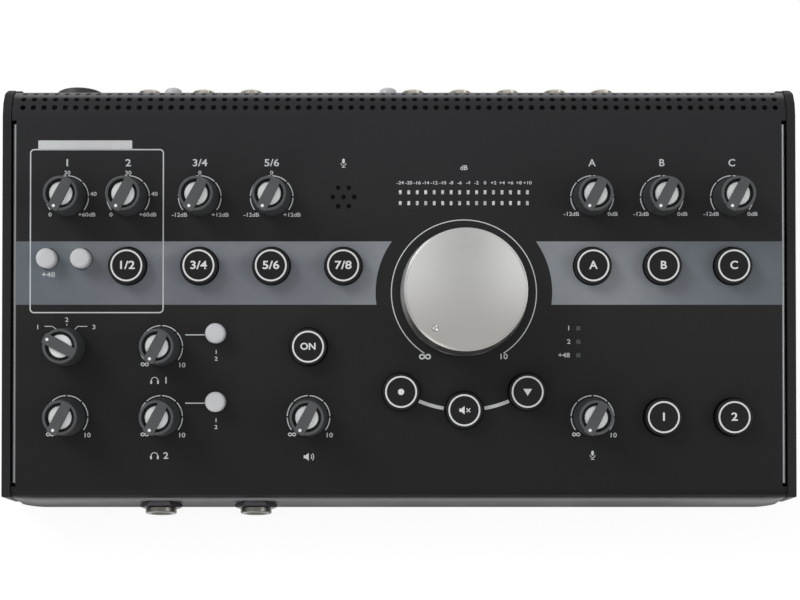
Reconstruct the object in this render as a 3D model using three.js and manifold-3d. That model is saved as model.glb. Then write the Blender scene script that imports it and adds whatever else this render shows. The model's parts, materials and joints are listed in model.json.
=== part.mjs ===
// Studio monitor controller: a wedge-shaped steel desk console with knobs, lit push buttons and a
// level meter on its sloping panel, two phones sockets in front and rows of line sockets behind.
// Lengths are millimetres and angles are degrees. X runs across, Y from front to rear, Z up.
import * as THREE from 'three';
import { mergeGeometries, mergeVertices } from 'three/addons/utils/BufferGeometryUtils.js';
import Module from 'manifold-3d';

const wasm = await Module();
wasm.setup();

// Chassis
const consoleWidth = 363;
const panelLength = 173.6;
const panelSlope = 10.7;
const frontHeight = 34;
const footHeight = 3;
const sheetThickness = 1.2;
const fitGap = 0.3;
const overrun = 1;
const quarterTurn = 90;
const weldDistance = 0.0001;

// Folded top cover
const frontBendRadius = 5;
const rearBendRadius = 12.7;
const sideBendRadius = 1.6;
const sheetLap = 2;
const frontLipDepth = 5.4;
const rearHemLength = 1;
const coverSideGap = 0.8;
const reliefLength = 1.8;

// Vents punched along the rear bend
const ventColumns = 72;
const ventPitch = 4.86;
const ventDiameter = 2.6;
const ventSides = 6;
const ventRowAngles = [19.5, 41.4, 63.3];
const ventFacetAngle = 13;

// Side cheeks
const cheekThickness = 3.9;
const cheekProud = 0.5;
const cheekFrontProud = 0.7;
const cheekFrontLean = 2;
const cheekFrontRun = 6;
const cheekRearRadius = 3.6;
const cheekNoseRadius = 4;
const cheekHookReach = 2.7;
const cheekHookThickness = 0.7;

// Base tray
const trayWallProud = 1.25;
const trayBowRadius = 50;
const trayBowRun = 11.5;
const trayUpstand = 10;
const trayUpstandSetback = 34;

// Rear panel
const rearTopFlange = 8;
const rearBottomFlange = 10;
const rearFoldRadius = 1.8;
const rearPanelTopOverlap = 1.7;

// Rubber feet
const footRadius = 8;
const footTaper = 1;
const footSideInset = 24;
const footEndInset = 20;

// Places of the controls, as shares of half the width and of the panel's length
const columnShares = {
  edge: -0.837,
  first: -0.6832,
  second: -0.5025,
  third: -0.3212,
  fourth: -0.14,
  phantom: -0.8848,
  pan: -0.7994,
  phones: -0.5989,
  phonesCap: -0.4606,
  studio: -0.2277,
  volume: 0.1636,
  status: 0.4518,
  outputA: 0.4871,
  outputB: 0.6628,
  outputC: 0.8397,
};
const rowShares = {
  top: 0.7872,
  select: 0.6048,
  caps: 0.6238,
  volume: 0.5354,
  upper: 0.3918,
  lower: 0.2074,
  upperCap: 0.427,
  lowerCap: 0.2471,
  meter: 0.7855,
  status: 0.4052,
};

// Small knobs, moulded on their shafts
const knobBaseRadius = 8.8;
const knobRimRadius = 7.75;
const knobRimWidth = 1.4;
const knobHeight = 18.5;
const knobRecess = 3.2;
const knobLift = 0.6;
const knobBarWidth = 5;
const knobBarNub = 0.5;
const knobBarRise = 0.2;
const knobSides = 14;
const shaftRadius = 3;
const shaftSides = 6;
const shaftDepth = 9;
const knobRestAngle = 152.5;
const selectorRestAngle = 62;

// Volume knob
const volumeBaseRadius = 29.3;
const volumeTopRadius = 27;
const volumeHeight = 29;
const volumeSkirt = 3;
const volumeChamfer = 0.9;
const volumeLift = 0.8;
const volumeSides = 40;
const dimpleRadius = 1.6;
const dimpleDepth = 0.8;
const dimpleOffset = 22;
const dimpleSides = 8;
const volumeRestAngle = 141.5;

// Lit push buttons
const buttonRadius = 8.6;
const buttonRise = 5.5;
const buttonEdge = 0.6;
const buttonSkirt = 4.5;
const buttonStemDepth = 8.8;
const buttonSides = 14;
const buttonHoleSides = 12;
const buttonTravel = 1.5;
const trioRadius = 53.8;
const trioAngle = 32.3;

// Latching push caps on the panel
const capRadius = 4.65;
const capRise = 7.5;
const capEdge = 0.8;
const capSkirt = 3.4;
const capStemDepth = 8.2;
const capSides = 12;
const capHoleSides = 8;
const capTravel = 3;

// Stems and switch housings
const stemWidth = 3.4;
const housingWidth = 8;
const housingTopDepth = 7;

// Control board under the panel
const boardThickness = 1.6;
const controlBoardDepth = 12;
const controlBoardMargin = 6.2;
const controlBoardRearGap = 27;
const controlBoardSideGap = 11;
const potWidth = 10;
const spacerRadius = 2.8;
const spacerSides = 6;
const spacerInset = 4;
const spacerMiddleShare = -0.066;
const microphoneRadius = 5.5;
const microphoneSides = 10;
const microphoneDepth = 2.6;

// Talkback grille of seven holes
const grillePitch = 4.9;
const grilleHoleRadius = 1.1;
const grilleSides = 6;

// Level meter: two rows of slots over two light bars
const meterColumns = 16;
const meterPitch = 3.88;
const meterRowPitch = 5;
const meterSlotWidth = 1.4;
const meterSlotLength = 2;
const meterBarWidth = 2.6;
const meterBlockMargin = 2.4;
const meterBlockTopDepth = 3;

// Status lamps
const lampCount = 3;
const lampPitch = 6.2;
const lampWidth = 1.8;
const lampHoleWidth = 2.2;

// Jack sockets shared sizes
const jackBoreRadius = 3.25;
const jackBoreDepth = 26;
const jackSides = 8;
const hexSides = 6;

// Stacked line sockets behind: places as shares of half the width
const lineSocketShares = [-0.6487, -0.5081, -0.3843, 0.0364, 0.1591, 0.2818, 0.4045, 0.5271];
const lineNoseRadius = 5.5;
const lineNoseReach = 6.7;
const lineBodyWidth = 13;
const lineBodyLength = 28;
const lineBodyTopMargin = 9.5;
const lineUpperHeight = 40.5;
const lineLowerHeight = 19;

// Microphone combination sockets behind
const comboShare = -0.828;
const comboUpperHeight = 40.7;
const comboLowerHeight = 17.3;
const comboBarrelRadius = 9.4;
const comboBezelRadius = 11.5;
const comboBezelRim = 9.2;
const comboBezelBase = 4.5;
const comboReach = 6;
const comboMouthRadius = 7.4;
const comboMouthDepth = 5;
const comboBodyLength = 30;
const comboSides = 12;

// Phones sockets in front
const phonesSocketShares = [-0.6077, -0.3653];
const phonesSocketDrop = 16;
const phonesNoseRadius = 7.2;
const phonesNoseReach = 4.9;
const phonesNutFlats = 17;
const phonesNutThickness = 2.3;
const phonesNoseSides = 12;
const phonesBodyWidth = 16;
const phonesBodyHeight = 14;
const phonesBodyLength = 28;

// Board behind the rear panel
const jackBoardTop = 9;
const jackBoardFrontGap = 64;
const jackBoardRearGap = 0.5;
const jackBoardLeftShare = -0.745;
const jackBoardRightShare = 0.937;
const miniSocketShares = [-0.2942, -0.0981];
const miniSocketHeight = 19;
const miniNoseRadius = 3;
const miniNoseReach = 1.6;
const miniBoreRadius = 1.8;
const miniBoreDepth = 12;
const miniBodyWidth = 8;
const miniBodyLength = 14;
const miniBodyMargin = 4;
const miniSides = 8;
const capacitorRadius = 5;
const capacitorHeight = 16;
const capacitorPitch = 14;
const capacitorCount = 4;
const capacitorShare = 0.72;
const capacitorSetback = 42;
const headerWidth = 30;
const headerLength = 6;
const headerHeight = 9;

// Push caps of the two level switches behind
const rearCapSockets = [0, 3];
const rearCapDirections = [1, -1];
const rearCapClearances = [0.5, 1.2];
const rearCapHeight = 40.5;
const rearCapRadius = 4.1;
const rearCapReach = 8.5;
const rearCapEdge = 0.7;
const rearCapSkirt = 3.4;
const rearCapStemDepth = 8.2;
const rearCapSides = 8;
const riserWidth = 7;
const riserLength = 6;

// USB socket
const usbShare = 0.7107;
const usbWidth = 12;
const usbHeight = 11;
const usbLength = 16;
const usbProud = 0.8;
const usbMouthWidth = 8.45;
const usbMouthHeight = 7.78;
const usbMouthDepth = 9;
const usbTongueWidth = 5.6;
const usbTongueHeight = 3.2;
const usbTongueSetback = 1;

// Power inlet
const inletShare = 0.7906;
const inletWidth = 9;
const inletHeight = 11;
const inletLength = 14;
const inletNoseRadius = 4;
const inletNoseReach = 0.8;
const inletBoreRadius = 2.9;
const inletBoreDepth = 9.5;
const inletPinRadius = 1;
const inletPinSetback = 1;
const inletSides = 12;

// Power rocker
const rockerShare = 0.882;
const rockerHeight = 30;
const rockerWidth = 13;
const rockerHalfHeight = 8.4;
const rockerValley = 2;
const rockerBack = 2.5;
const rockerNeck = 1;
const rockerBackHalf = 4;
const rockerTilt = 12;
const rockerPivotDepth = 1;
const rockerBezelWidth = 1.6;
const rockerBezelReach = 1.4;
const rockerWall = 1.2;
const rockerRecess = 7;

// Turned frame of the panel: sine and cosine of its slope
const slopeSine = Math.sin(THREE.MathUtils.degToRad(panelSlope));
const slopeCosine = Math.cos(THREE.MathUtils.degToRad(panelSlope));

// Widths and levels that several pieces share
const halfWidth = consoleWidth / 2;
const cheekInnerX = halfWidth - cheekThickness;
const wideHalf = cheekInnerX - fitGap;
const foldedHalf = cheekInnerX - coverSideGap;
const trayHalf = foldedHalf - sheetThickness - fitGap;
const floorLevel = footHeight + sheetThickness;
const trayWallTop = frontHeight - frontLipDepth - fitGap;
const rearBendCentreY = panelLength * slopeCosine + rearBendRadius * slopeSine;
const rearBendCentreZ = frontHeight + panelLength * slopeSine - rearBendRadius * slopeCosine;
const coverRearY = rearBendCentreY + rearBendRadius;
const rearPanelY = coverRearY - sheetThickness - fitGap;
const rearInnerY = rearPanelY - sheetThickness;
const rearPanelTop = rearBendCentreZ - rearHemLength + rearPanelTopOverlap;
const trayFrontY = -trayWallProud;
const phonesHeight = frontHeight - phonesSocketDrop;
const jackBoardSeat = jackBoardTop - boardThickness / 2;
const rearReach = Math.max(lineNoseReach, comboReach, rearCapReach);
const frontReach = trayWallProud + phonesNoseReach;

const finishes = {
  coverSteel: new THREE.MeshStandardMaterial({ color: 0x2b2b2d, roughness: 0.55, metalness: 0.3 }),
  traySteel: new THREE.MeshStandardMaterial({ color: 0x3c3c3e, roughness: 0.5, metalness: 0.3 }),
  cheekPlastic: new THREE.MeshStandardMaterial({ color: 0x26272a, roughness: 0.5 }),
  board: new THREE.MeshStandardMaterial({ color: 0x1f4a32, roughness: 0.6 }),
  knobPlastic: new THREE.MeshStandardMaterial({ color: 0x45474b, roughness: 0.5 }),
  volumeMetal: new THREE.MeshStandardMaterial({ color: 0xc4c5c4, roughness: 0.35, metalness: 0.9 }),
  buttonPlastic: new THREE.MeshStandardMaterial({ color: 0x19191a, roughness: 0.4 }),
  capPlastic: new THREE.MeshStandardMaterial({ color: 0xd4d5d6, roughness: 0.45 }),
  socketPlastic: new THREE.MeshStandardMaterial({ color: 0x222224, roughness: 0.5 }),
  socketMetal: new THREE.MeshStandardMaterial({ color: 0xb9b6ae, roughness: 0.35, metalness: 0.9 }),
  lens: new THREE.MeshStandardMaterial({ color: 0xbfc4c6, roughness: 0.3 }),
  rubber: new THREE.MeshStandardMaterial({ color: 0x18181a, roughness: 0.9 }),
};

// Chassis coordinates of a point given along and above the panel
function toChassis(along, above) {
  const y = along * slopeCosine - above * slopeSine;
  const z = frontHeight + along * slopeSine + above * slopeCosine;
  return [y, z];
}

// Panel coordinates of a point given in the chassis
function toPanel(y, z) {
  const along = y * slopeCosine + (z - frontHeight) * slopeSine;
  const above = (z - frontHeight) * slopeCosine - y * slopeSine;
  return [along, above];
}

// Signed volume of an indexed mesh, negative where its faces point inwards
function signedVolume(positions, corners) {
  const [a, b, c] = [new THREE.Vector3(), new THREE.Vector3(), new THREE.Vector3()];
  let total = 0;
  for (let i = 0; i < corners.length; i += 3) {
    a.fromArray(positions, 3 * corners[i]);
    b.fromArray(positions, 3 * corners[i + 1]);
    c.fromArray(positions, 3 * corners[i + 2]);
    total += a.dot(b.cross(c));
  }
  return total / 6;
}

// Solid of a closed geometry: shared corners merged, flat triangles dropped, faces pointing out
function solid(geometry) {
  const bare = new THREE.BufferGeometry();
  bare.setAttribute('position', geometry.getAttribute('position').clone());
  bare.setIndex(geometry.index);
  const merged = mergeVertices(bare, weldDistance);
  const positions = merged.getAttribute('position').array;
  const corners = [];
  for (let i = 0; i < merged.index.count; i += 3) {
    const [a, b, c] = [0, 1, 2].map((offset) => merged.index.getX(i + offset));
    if (a !== b && b !== c && c !== a) {
      corners.push(a, b, c);
    }
  }
  if (signedVolume(positions, corners) < 0) {
    corners.reverse();
  }
  const mesh = new wasm.Mesh({
    numProp: 3,
    vertProperties: new Float32Array(positions),
    triVerts: new Uint32Array(corners),
  });
  return new wasm.Manifold(mesh);
}

// One solid of several that meet or lie apart
function join(parts) {
  return parts.reduce((whole, part) => whole.add(part));
}

// A solid less each of its cutters
function cut(body, cutters) {
  return cutters.reduce((whole, cutter) => whole.subtract(cutter), body);
}

// Named mesh of a solid, placed in its parent
function addPiece(parent, name, body, finish, position = [0, 0, 0], rotation = [0, 0, 0]) {
  const { vertProperties, triVerts } = body.getMesh();
  const geometry = new THREE.BufferGeometry();
  geometry.setAttribute('position', new THREE.BufferAttribute(new Float32Array(vertProperties), 3));
  geometry.setIndex(new THREE.BufferAttribute(new Uint32Array(triVerts), 1));
  const mesh = new THREE.Mesh(geometry, finish);
  mesh.name = name;
  mesh.position.set(...position);
  mesh.rotation.set(...rotation);
  parent.add(mesh);
  return mesh;
}

// Box between two corners
function boxGeometry(low, high) {
  const size = high.map((value, axis) => value - low[axis]);
  const shape = new THREE.BoxGeometry(...size);
  shape.translate(...high.map((value, axis) => (value + low[axis]) / 2));
  return shape;
}

function box(low, high) {
  return solid(boxGeometry(low, high));
}

// Upright rod between two heights, with a corner of its polygon towards -Y
function rodGeometry(radius, low, high, sides, topRadius = radius) {
  const shape = new THREE.CylinderGeometry(topRadius, radius, high - low, sides);
  shape.rotateX(Math.PI / 2);
  shape.translate(0, 0, (low + high) / 2);
  return shape;
}

// Upright rod whose centre line stands at x, y
function rod(radius, low, high, sides, [x, y] = [0, 0]) {
  return solid(rodGeometry(radius, low, high, sides).translate(x, y, 0));
}

// Rod that runs from front to rear between two depths, centred at x, z
function levelRod(radius, near, far, sides, [x, z]) {
  const shape = rodGeometry(radius, near, far, sides);
  shape.rotateX(-Math.PI / 2);
  return solid(shape.translate(x, 0, z));
}

// Radius of a polygon whose flats clear a round piece
function clearRadius(radius, sides) {
  return (radius + fitGap) / Math.cos(Math.PI / sides);
}

// Corner radius of a hexagon of a given size across its flats
function hexRadius(flats) {
  return flats / 2 / Math.cos(Math.PI / hexSides);
}

// Turned solid about Z from a profile of radius and height
function turned(profile, sides) {
  const shape = new THREE.LatheGeometry(profile.map(([r, h]) => new THREE.Vector2(r, h)), sides);
  shape.rotateX(Math.PI / 2);
  return solid(shape);
}

// Prism of a drawn outline, from one level to another
function prismGeometry(points, low, high) {
  const shape = new THREE.Shape(points.map(([x, y]) => new THREE.Vector2(x, y)));
  const body = new THREE.ExtrudeGeometry(shape, { depth: high - low, bevelEnabled: false });
  return body.translate(0, 0, low);
}

function prism(points, low, high) {
  return solid(prismGeometry(points, low, high));
}

// Prism across the console of an outline drawn in side view
function sidePrism(points, left, right) {
  const basis = new THREE.Matrix4().makeBasis(
    new THREE.Vector3(0, 1, 0),
    new THREE.Vector3(0, 0, 1),
    new THREE.Vector3(1, 0, 0),
  );
  return solid(prismGeometry(points, left, right).applyMatrix4(basis));
}

const evenShares = [0, 0.25, 0.5, 0.75, 1];

// Points of the arc that rounds a corner, broken at shares of its sweep
function roundedCorner(before, here, after, radius, shares = evenShares) {
  const corner = new THREE.Vector2(...here);
  const toBefore = new THREE.Vector2(...before).sub(corner).normalize();
  const toAfter = new THREE.Vector2(...after).sub(corner).normalize();
  const half = Math.acos(toBefore.dot(toAfter)) / 2;
  const bisector = toBefore.clone().add(toAfter).normalize();
  const centre = corner.clone().addScaledVector(bisector, radius / Math.sin(half));
  const start = corner.clone().addScaledVector(toBefore, radius / Math.tan(half));
  const turn = Math.sign(toBefore.cross(toAfter)) * (2 * half - Math.PI);
  return shares.map((share) => start.clone().rotateAround(centre, turn * share).toArray());
}

// Closed outline of corners, each with its place, its radius and the shares of its arc
function outline(corners) {
  return corners.flatMap((corner, index) => {
    if (!corner.radius) {
      return [corner.at];
    }
    const before = corners.at(index - 1).at;
    const after = corners[(index + 1) % corners.length].at;
    return roundedCorner(before, corner.at, after, corner.radius, corner.shares);
  });
}

// Side view of a sheet folded along a path, which is its outer face and bends to the right
function foldedSheet(path) {
  const rightOf = (from, to) => {
    const along = new THREE.Vector2(to[0] - from[0], to[1] - from[1]).normalize();
    return new THREE.Vector2(along.y, -along.x);
  };
  const innerEnd = (end, side) => [end[0] + side.x * sheetThickness, end[1] + side.y * sheetThickness];
  const places = path.map((corner) => corner.at);
  const outer = [places[0]];
  const inner = [innerEnd(places[0], rightOf(places[0], places[1]))];
  for (let i = 1; i < path.length - 1; i += 1) {
    const [before, here, after] = places.slice(i - 1, i + 2);
    const sides = [rightOf(before, here), rightOf(here, after)];
    const middle = sides[0].clone().add(sides[1]).normalize();
    const reach = sheetThickness / middle.dot(sides[0]);
    const shift = ([x, y]) => [x + middle.x * reach, y + middle.y * reach];
    const { radius, shares } = path[i];
    outer.push(...roundedCorner(before, here, after, radius, shares));
    inner.push(...roundedCorner(shift(before), shift(here), shift(after), radius - sheetThickness, shares));
  }
  outer.push(places.at(-1));
  inner.push(innerEnd(places.at(-1), rightOf(...places.slice(-2))));
  return [...outer, ...inner.reverse()];
}

// Places of the panel's controls, as x across and distance up the panel
const column = (name) => columnShares[name] * halfWidth;
const row = (name) => rowShares[name] * panelLength;

const volumePlace = [column('volume'), row('volume')];

function trioPlace(angle) {
  const turn = THREE.MathUtils.degToRad(angle);
  return [volumePlace[0] + trioRadius * Math.sin(turn), volumePlace[1] - trioRadius * Math.cos(turn)];
}

const knobs = {
  gain_knob_1: [column('edge'), row('top')],
  gain_knob_2: [column('first'), row('top')],
  source_trim_knob_1: [column('second'), row('top')],
  source_trim_knob_2: [column('third'), row('top')],
  monitor_trim_knob_a: [column('outputA'), row('top')],
  monitor_trim_knob_b: [column('outputB'), row('top')],
  monitor_trim_knob_c: [column('outputC'), row('top')],
  cue_source_knob: [column('edge'), row('upper')],
  direct_monitor_knob: [column('edge'), row('lower')],
  phones_knob_1: [column('phones'), row('upper')],
  phones_knob_2: [column('phones'), row('lower')],
  studio_level_knob: [column('studio'), row('lower')],
  talkback_level_knob: [column('outputA'), row('lower')],
};

const buttons = {
  source_button_1_2: [column('first'), row('select')],
  source_button_3_4: [column('second'), row('select')],
  source_button_5_6: [column('third'), row('select')],
  source_button_usb: [column('fourth'), row('select')],
  monitor_button_a: [column('outputA'), row('select')],
  monitor_button_b: [column('outputB'), row('select')],
  monitor_button_c: [column('outputC'), row('select')],
  studio_on_button: [column('studio'), row('upper')],
  mono_button: trioPlace(-trioAngle),
  mute_button: trioPlace(0),
  dim_button: trioPlace(trioAngle),
  talk_two_track_button: [column('outputB'), row('lower')],
  talk_cue_button: [column('outputC'), row('lower')],
};

const pushCaps = {
  phantom_power_cap: [column('phantom'), row('caps')],
  stereo_pan_cap: [column('pan'), row('caps')],
  phones_source_cap_1: [column('phonesCap'), row('upperCap')],
  phones_source_cap_2: [column('phonesCap'), row('lowerCap')],
};

const microphonePlace = [column('fourth'), row('top')];

const meterPlaces = Array.from({ length: 2 * meterColumns }, (_, index) => {
  const across = (index % meterColumns) - (meterColumns - 1) / 2;
  const side = index < meterColumns ? -1 : 1;
  return [column('volume') + across * meterPitch, row('meter') + (side * meterRowPitch) / 2];
});

const lampPlaces = Array.from({ length: lampCount }, (_, index) => {
  const step = index - (lampCount - 1) / 2;
  return [column('status'), row('status') + step * lampPitch];
});

const grillePlaces = [microphonePlace];
for (let index = 0; index < hexSides; index += 1) {
  const turn = (index * 2 * Math.PI) / hexSides;
  const shift = [grillePitch * Math.cos(turn), grillePitch * Math.sin(turn)];
  grillePlaces.push([microphonePlace[0] + shift[0], microphonePlace[1] + shift[1]]);
}

// Level switches stand beside line sockets, a clearance away from their bodies
const rearCapColumns = rearCapSockets.map((socket, index) => {
  const reach = Math.max(riserWidth / 2, rearCapRadius);
  const apart = lineBodyWidth / 2 + rearCapClearances[index] + reach;
  return lineSocketShares[socket] * halfWidth + rearCapDirections[index] * apart;
});

// Square cutter or post at each place, between two depths under the panel
function squarePosts(places, [width, length], low, high) {
  return solid(mergeGeometries(places.map(([x, y]) => boxGeometry(
    [x - width / 2, y - length / 2, low],
    [x + width / 2, y + length / 2, high],
  ))));
}

// Round cutter or post at each place
function roundPosts(places, radius, sides, low, high) {
  return solid(mergeGeometries(places.map(([x, y]) => (
    rodGeometry(radius, low, high, sides).translate(x, y, 0)
  ))));
}

// Punches of the vents: hexagons square to the rear bend
function ventPunches() {
  const low = rearBendRadius - sheetThickness - overrun;
  const high = rearBendRadius + overrun;
  const punches = [];
  for (const angle of ventRowAngles) {
    for (let index = 0; index < ventColumns; index += 1) {
      const punch = rodGeometry(ventDiameter / 2, low, high, ventSides);
      punch.rotateZ(Math.PI / 2);
      punch.rotateX(-THREE.MathUtils.degToRad(angle));
      punch.translate((index - (ventColumns - 1) / 2) * ventPitch, panelLength, -rearBendRadius);
      punches.push(punch);
    }
  }
  return solid(mergeGeometries(punches));
}

// Top cover: lip, sloping panel, vented rear bend and hem in one sheet, with folded side walls
function topCover() {
  const sweep = quarterTurn + panelSlope;
  const halfFacet = ventFacetAngle / 2;
  const facetEdges = ventRowAngles.flatMap((angle) => [angle - halfFacet, angle + halfFacet]);
  const lastEdge = facetEdges.at(-1);
  const breaks = [0, ...facetEdges, (lastEdge + sweep) / 2, sweep];
  const rearCornerAlong = panelLength + rearBendRadius * Math.tan(THREE.MathUtils.degToRad(sweep / 2));
  const profile = foldedSheet([
    { at: toPanel(0, frontHeight - frontLipDepth) },
    { at: [0, 0], radius: frontBendRadius },
    { at: [rearCornerAlong, 0], radius: rearBendRadius, shares: breaks.map((angle) => angle / sweep) },
    { at: toPanel(coverRearY, rearBendCentreZ - rearHemLength) },
  ]);
  const sheet = sidePrism(profile, -wideHalf, wideHalf);

  const frontSweep = THREE.MathUtils.degToRad(quarterTurn - panelSlope);
  const frontBendEnd = frontBendRadius * Math.tan(frontSweep / 2);
  const wallFront = frontBendEnd + reliefLength;
  const wallRear = panelLength - 2 * reliefLength;
  const flatEdge = foldedHalf - sideBendRadius;
  const wallFoot = footHeight + fitGap;
  const [frontFootY] = toChassis(wallFront, -sideBendRadius);
  const [rearFootY] = toChassis(wallRear, -sideBendRadius);
  const wallSide = [
    [wallFront, overrun],
    [wallFront, -sideBendRadius],
    toPanel(frontFootY, wallFoot),
    toPanel(rearFootY, wallFoot),
    [wallRear, -sideBendRadius],
    [wallRear, overrun],
  ];
  const wallDepth = frontHeight + panelLength;
  const parts = [sheet];
  const trims = [];
  for (const side of [-1, 1]) {
    const fold = foldedSheet([
      { at: [0, 0] },
      { at: [sheetLap + sideBendRadius, 0], radius: sideBendRadius },
      { at: [sheetLap + sideBendRadius, -wallDepth] },
    ]);
    const across = fold.map(([x, z]) => [side * (flatEdge - sheetLap + x), z]);
    const length = prismGeometry(across, -wallRear - overrun, -wallFront + overrun);
    const wall = solid(length.rotateX(Math.PI / 2));
    const [low, high] = side < 0 ? [-halfWidth, -flatEdge + sheetLap] : [flatEdge - sheetLap, halfWidth];
    parts.push(wall.intersect(sidePrism(wallSide, low - overrun, high + overrun)));
    const [near, far] = [side * flatEdge, side * (halfWidth + overrun)];
    trims.push(box(
      [Math.min(near, far), wallFront - reliefLength, -overrun - sheetThickness],
      [Math.max(near, far), wallRear + reliefLength, overrun],
    ));
  }
  parts[0] = cut(sheet, trims);

  const [low, high] = [-sheetThickness - overrun, overrun];
  const shaftHole = clearRadius(shaftRadius, shaftSides);
  const litHole = clearRadius(buttonRadius, buttonHoleSides);
  const capHole = clearRadius(capRadius, capHoleSides);
  return cut(join(parts), [
    ventPunches(),
    roundPosts([...Object.values(knobs), volumePlace], shaftHole, shaftSides, low, high),
    roundPosts(Object.values(buttons), litHole, buttonHoleSides, low, high),
    roundPosts(Object.values(pushCaps), capHole, capHoleSides, low, high),
    roundPosts(grillePlaces, grilleHoleRadius, grilleSides, low, high),
    squarePosts(meterPlaces, [meterSlotWidth, meterSlotLength], low, high),
    squarePosts(lampPlaces, [lampHoleWidth, lampHoleWidth], low, high),
  ]);
}

// Front edge of the tray in plan, bowed back at both ends, for a half width and a setback
function bowedEdge(half, setback) {
  const straight = wideHalf - trayBowRun;
  const radius = trayBowRadius - setback;
  const centreY = trayFrontY + trayBowRadius;
  const steps = evenShares.map((share) => {
    const x = straight + share * (half - straight);
    return [x, centreY - Math.sqrt(radius ** 2 - (x - straight) ** 2)];
  });
  const left = steps.map(([x, y]) => [-x, y]).reverse();
  return [...left, ...steps];
}

// Base tray: floor, bowed front wall and two low side upstands
function baseTray() {
  const floorPlan = [...bowedEdge(trayHalf, 0), [trayHalf, rearPanelY], [-trayHalf, rearPanelY]];
  const wallPlan = [...bowedEdge(wideHalf, 0), ...bowedEdge(wideHalf, sheetThickness).reverse()];
  const parts = [
    prism(floorPlan, footHeight, floorLevel),
    prism(wallPlan, footHeight, trayWallTop),
  ];
  const upstandRear = rearPanelY - rearBottomFlange - overrun;
  for (const side of [-1, 1]) {
    const [inner, outer] = [side * (trayHalf - sheetThickness), side * trayHalf];
    parts.push(box(
      [Math.min(inner, outer), trayUpstandSetback, footHeight],
      [Math.max(inner, outer), upstandRear, footHeight + trayUpstand],
    ));
  }
  const [near, far] = [trayFrontY - overrun, trayFrontY + sheetThickness + overrun];
  const radius = clearRadius(phonesNoseRadius, jackSides);
  return cut(join(parts), phonesSocketShares.map((share) => (
    levelRod(radius, near, far, jackSides, [share * halfWidth, phonesHeight])
  )));
}

// Cheek: side plate proud of the cover, rounded in plan, with a hook round the cover's rear
function cheek(side) {
  const rearY = coverRearY + fitGap + cheekHookThickness;
  const bendRadius = rearBendRadius + cheekProud;
  const frontY = -cheekFrontProud;
  const slant = Math.tan(THREE.MathUtils.degToRad(panelSlope));
  const frontTop = frontHeight + cheekProud / slopeCosine + frontY * slant;
  const rise = (rearY - frontY) * slant;
  const sideView = outline([
    { at: [frontY + cheekFrontLean, footHeight] },
    { at: [rearY, footHeight] },
    { at: [rearY, frontTop + rise], radius: bendRadius },
    { at: [frontY, frontTop], radius: cheekNoseRadius },
  ]);
  const frontShares = [0, 0.3, 0.6, 0.85, 1];
  const frontCurve = frontShares.map((share) => {
    const turn = (share * Math.PI) / 2;
    return [
      cheekInnerX + cheekThickness * Math.sin(turn),
      frontY + cheekFrontRun * (1 - Math.cos(turn)),
    ];
  });
  const hookX = cheekInnerX - cheekHookReach;
  const plan = [
    ...frontCurve,
    ...roundedCorner([halfWidth, frontY], [halfWidth, rearY], [hookX, rearY], cheekRearRadius),
    [hookX, rearY],
    [hookX, rearY - cheekHookThickness],
    [cheekInnerX, rearY - cheekHookThickness],
  ].map(([x, y]) => [side * x, y]);
  const bounds = [side * (hookX - overrun), side * (halfWidth + overrun)].sort((a, b) => a - b);
  const top = frontTop + rise;
  return prism(plan, footHeight, top).intersect(sidePrism(sideView, ...bounds));
}

// Rear panel: a C of sheet with folded flanges, cut for the sockets
function rearPanel() {
  const profile = foldedSheet([
    { at: [rearPanelY - rearTopFlange, rearPanelTop] },
    { at: [rearPanelY, rearPanelTop], radius: rearFoldRadius },
    { at: [rearPanelY, floorLevel], radius: rearFoldRadius },
    { at: [rearPanelY - rearBottomFlange, floorLevel] },
  ]);
  const [near, far] = [rearInnerY - overrun, rearPanelY + overrun];
  const hole = (radius, sides, place) => levelRod(clearRadius(radius, sides), near, far, sides, place);
  const window = (share, width, low, high) => box(
    [share * halfWidth - width / 2 - fitGap, near, low - fitGap],
    [share * halfWidth + width / 2 + fitGap, far, high + fitGap],
  );
  const cutters = [
    ...lineSocketShares.flatMap((share) => [lineUpperHeight, lineLowerHeight].map((height) => (
      hole(lineNoseRadius, jackSides, [share * halfWidth, height])
    ))),
    ...[comboUpperHeight, comboLowerHeight].map((height) => (
      hole(comboBarrelRadius, comboSides, [comboShare * halfWidth, height])
    )),
    ...miniSocketShares.map((share) => (
      hole(miniNoseRadius, miniSides, [share * halfWidth, miniSocketHeight])
    )),
    ...rearCapColumns.map((x) => hole(rearCapRadius, rearCapSides, [x, rearCapHeight])),
    hole(inletNoseRadius, inletSides, [inletShare * halfWidth, jackBoardTop + inletHeight / 2]),
    window(usbShare, usbWidth, jackBoardTop, jackBoardTop + usbHeight),
    window(rockerShare, rockerBodyWidth(), rockerHeight - rockerBodyHalf(), rockerHeight + rockerBodyHalf()),
  ];
  return cut(sidePrism(profile, -wideHalf, wideHalf), cutters);
}

// Line socket pair: one moulded body with an upper and a lower socket
function lineSocketPair(x) {
  const half = lineBodyWidth / 2;
  const top = lineUpperHeight + lineBodyTopMargin;
  const body = box([x - half, rearInnerY - lineBodyLength, jackBoardTop], [x + half, rearInnerY, top]);
  const places = [lineUpperHeight, lineLowerHeight].map((height) => [x, height]);
  const mouth = rearPanelY + lineNoseReach;
  const [root, boreEnd] = [rearInnerY - overrun, mouth - jackBoreDepth];
  const noses = places.map((place) => levelRod(lineNoseRadius, root, mouth, jackSides, place));
  const bores = places.map((place) => levelRod(jackBoreRadius, boreEnd, mouth + overrun, jackSides, place));
  return cut(join([body, ...noses]), bores);
}

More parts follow.
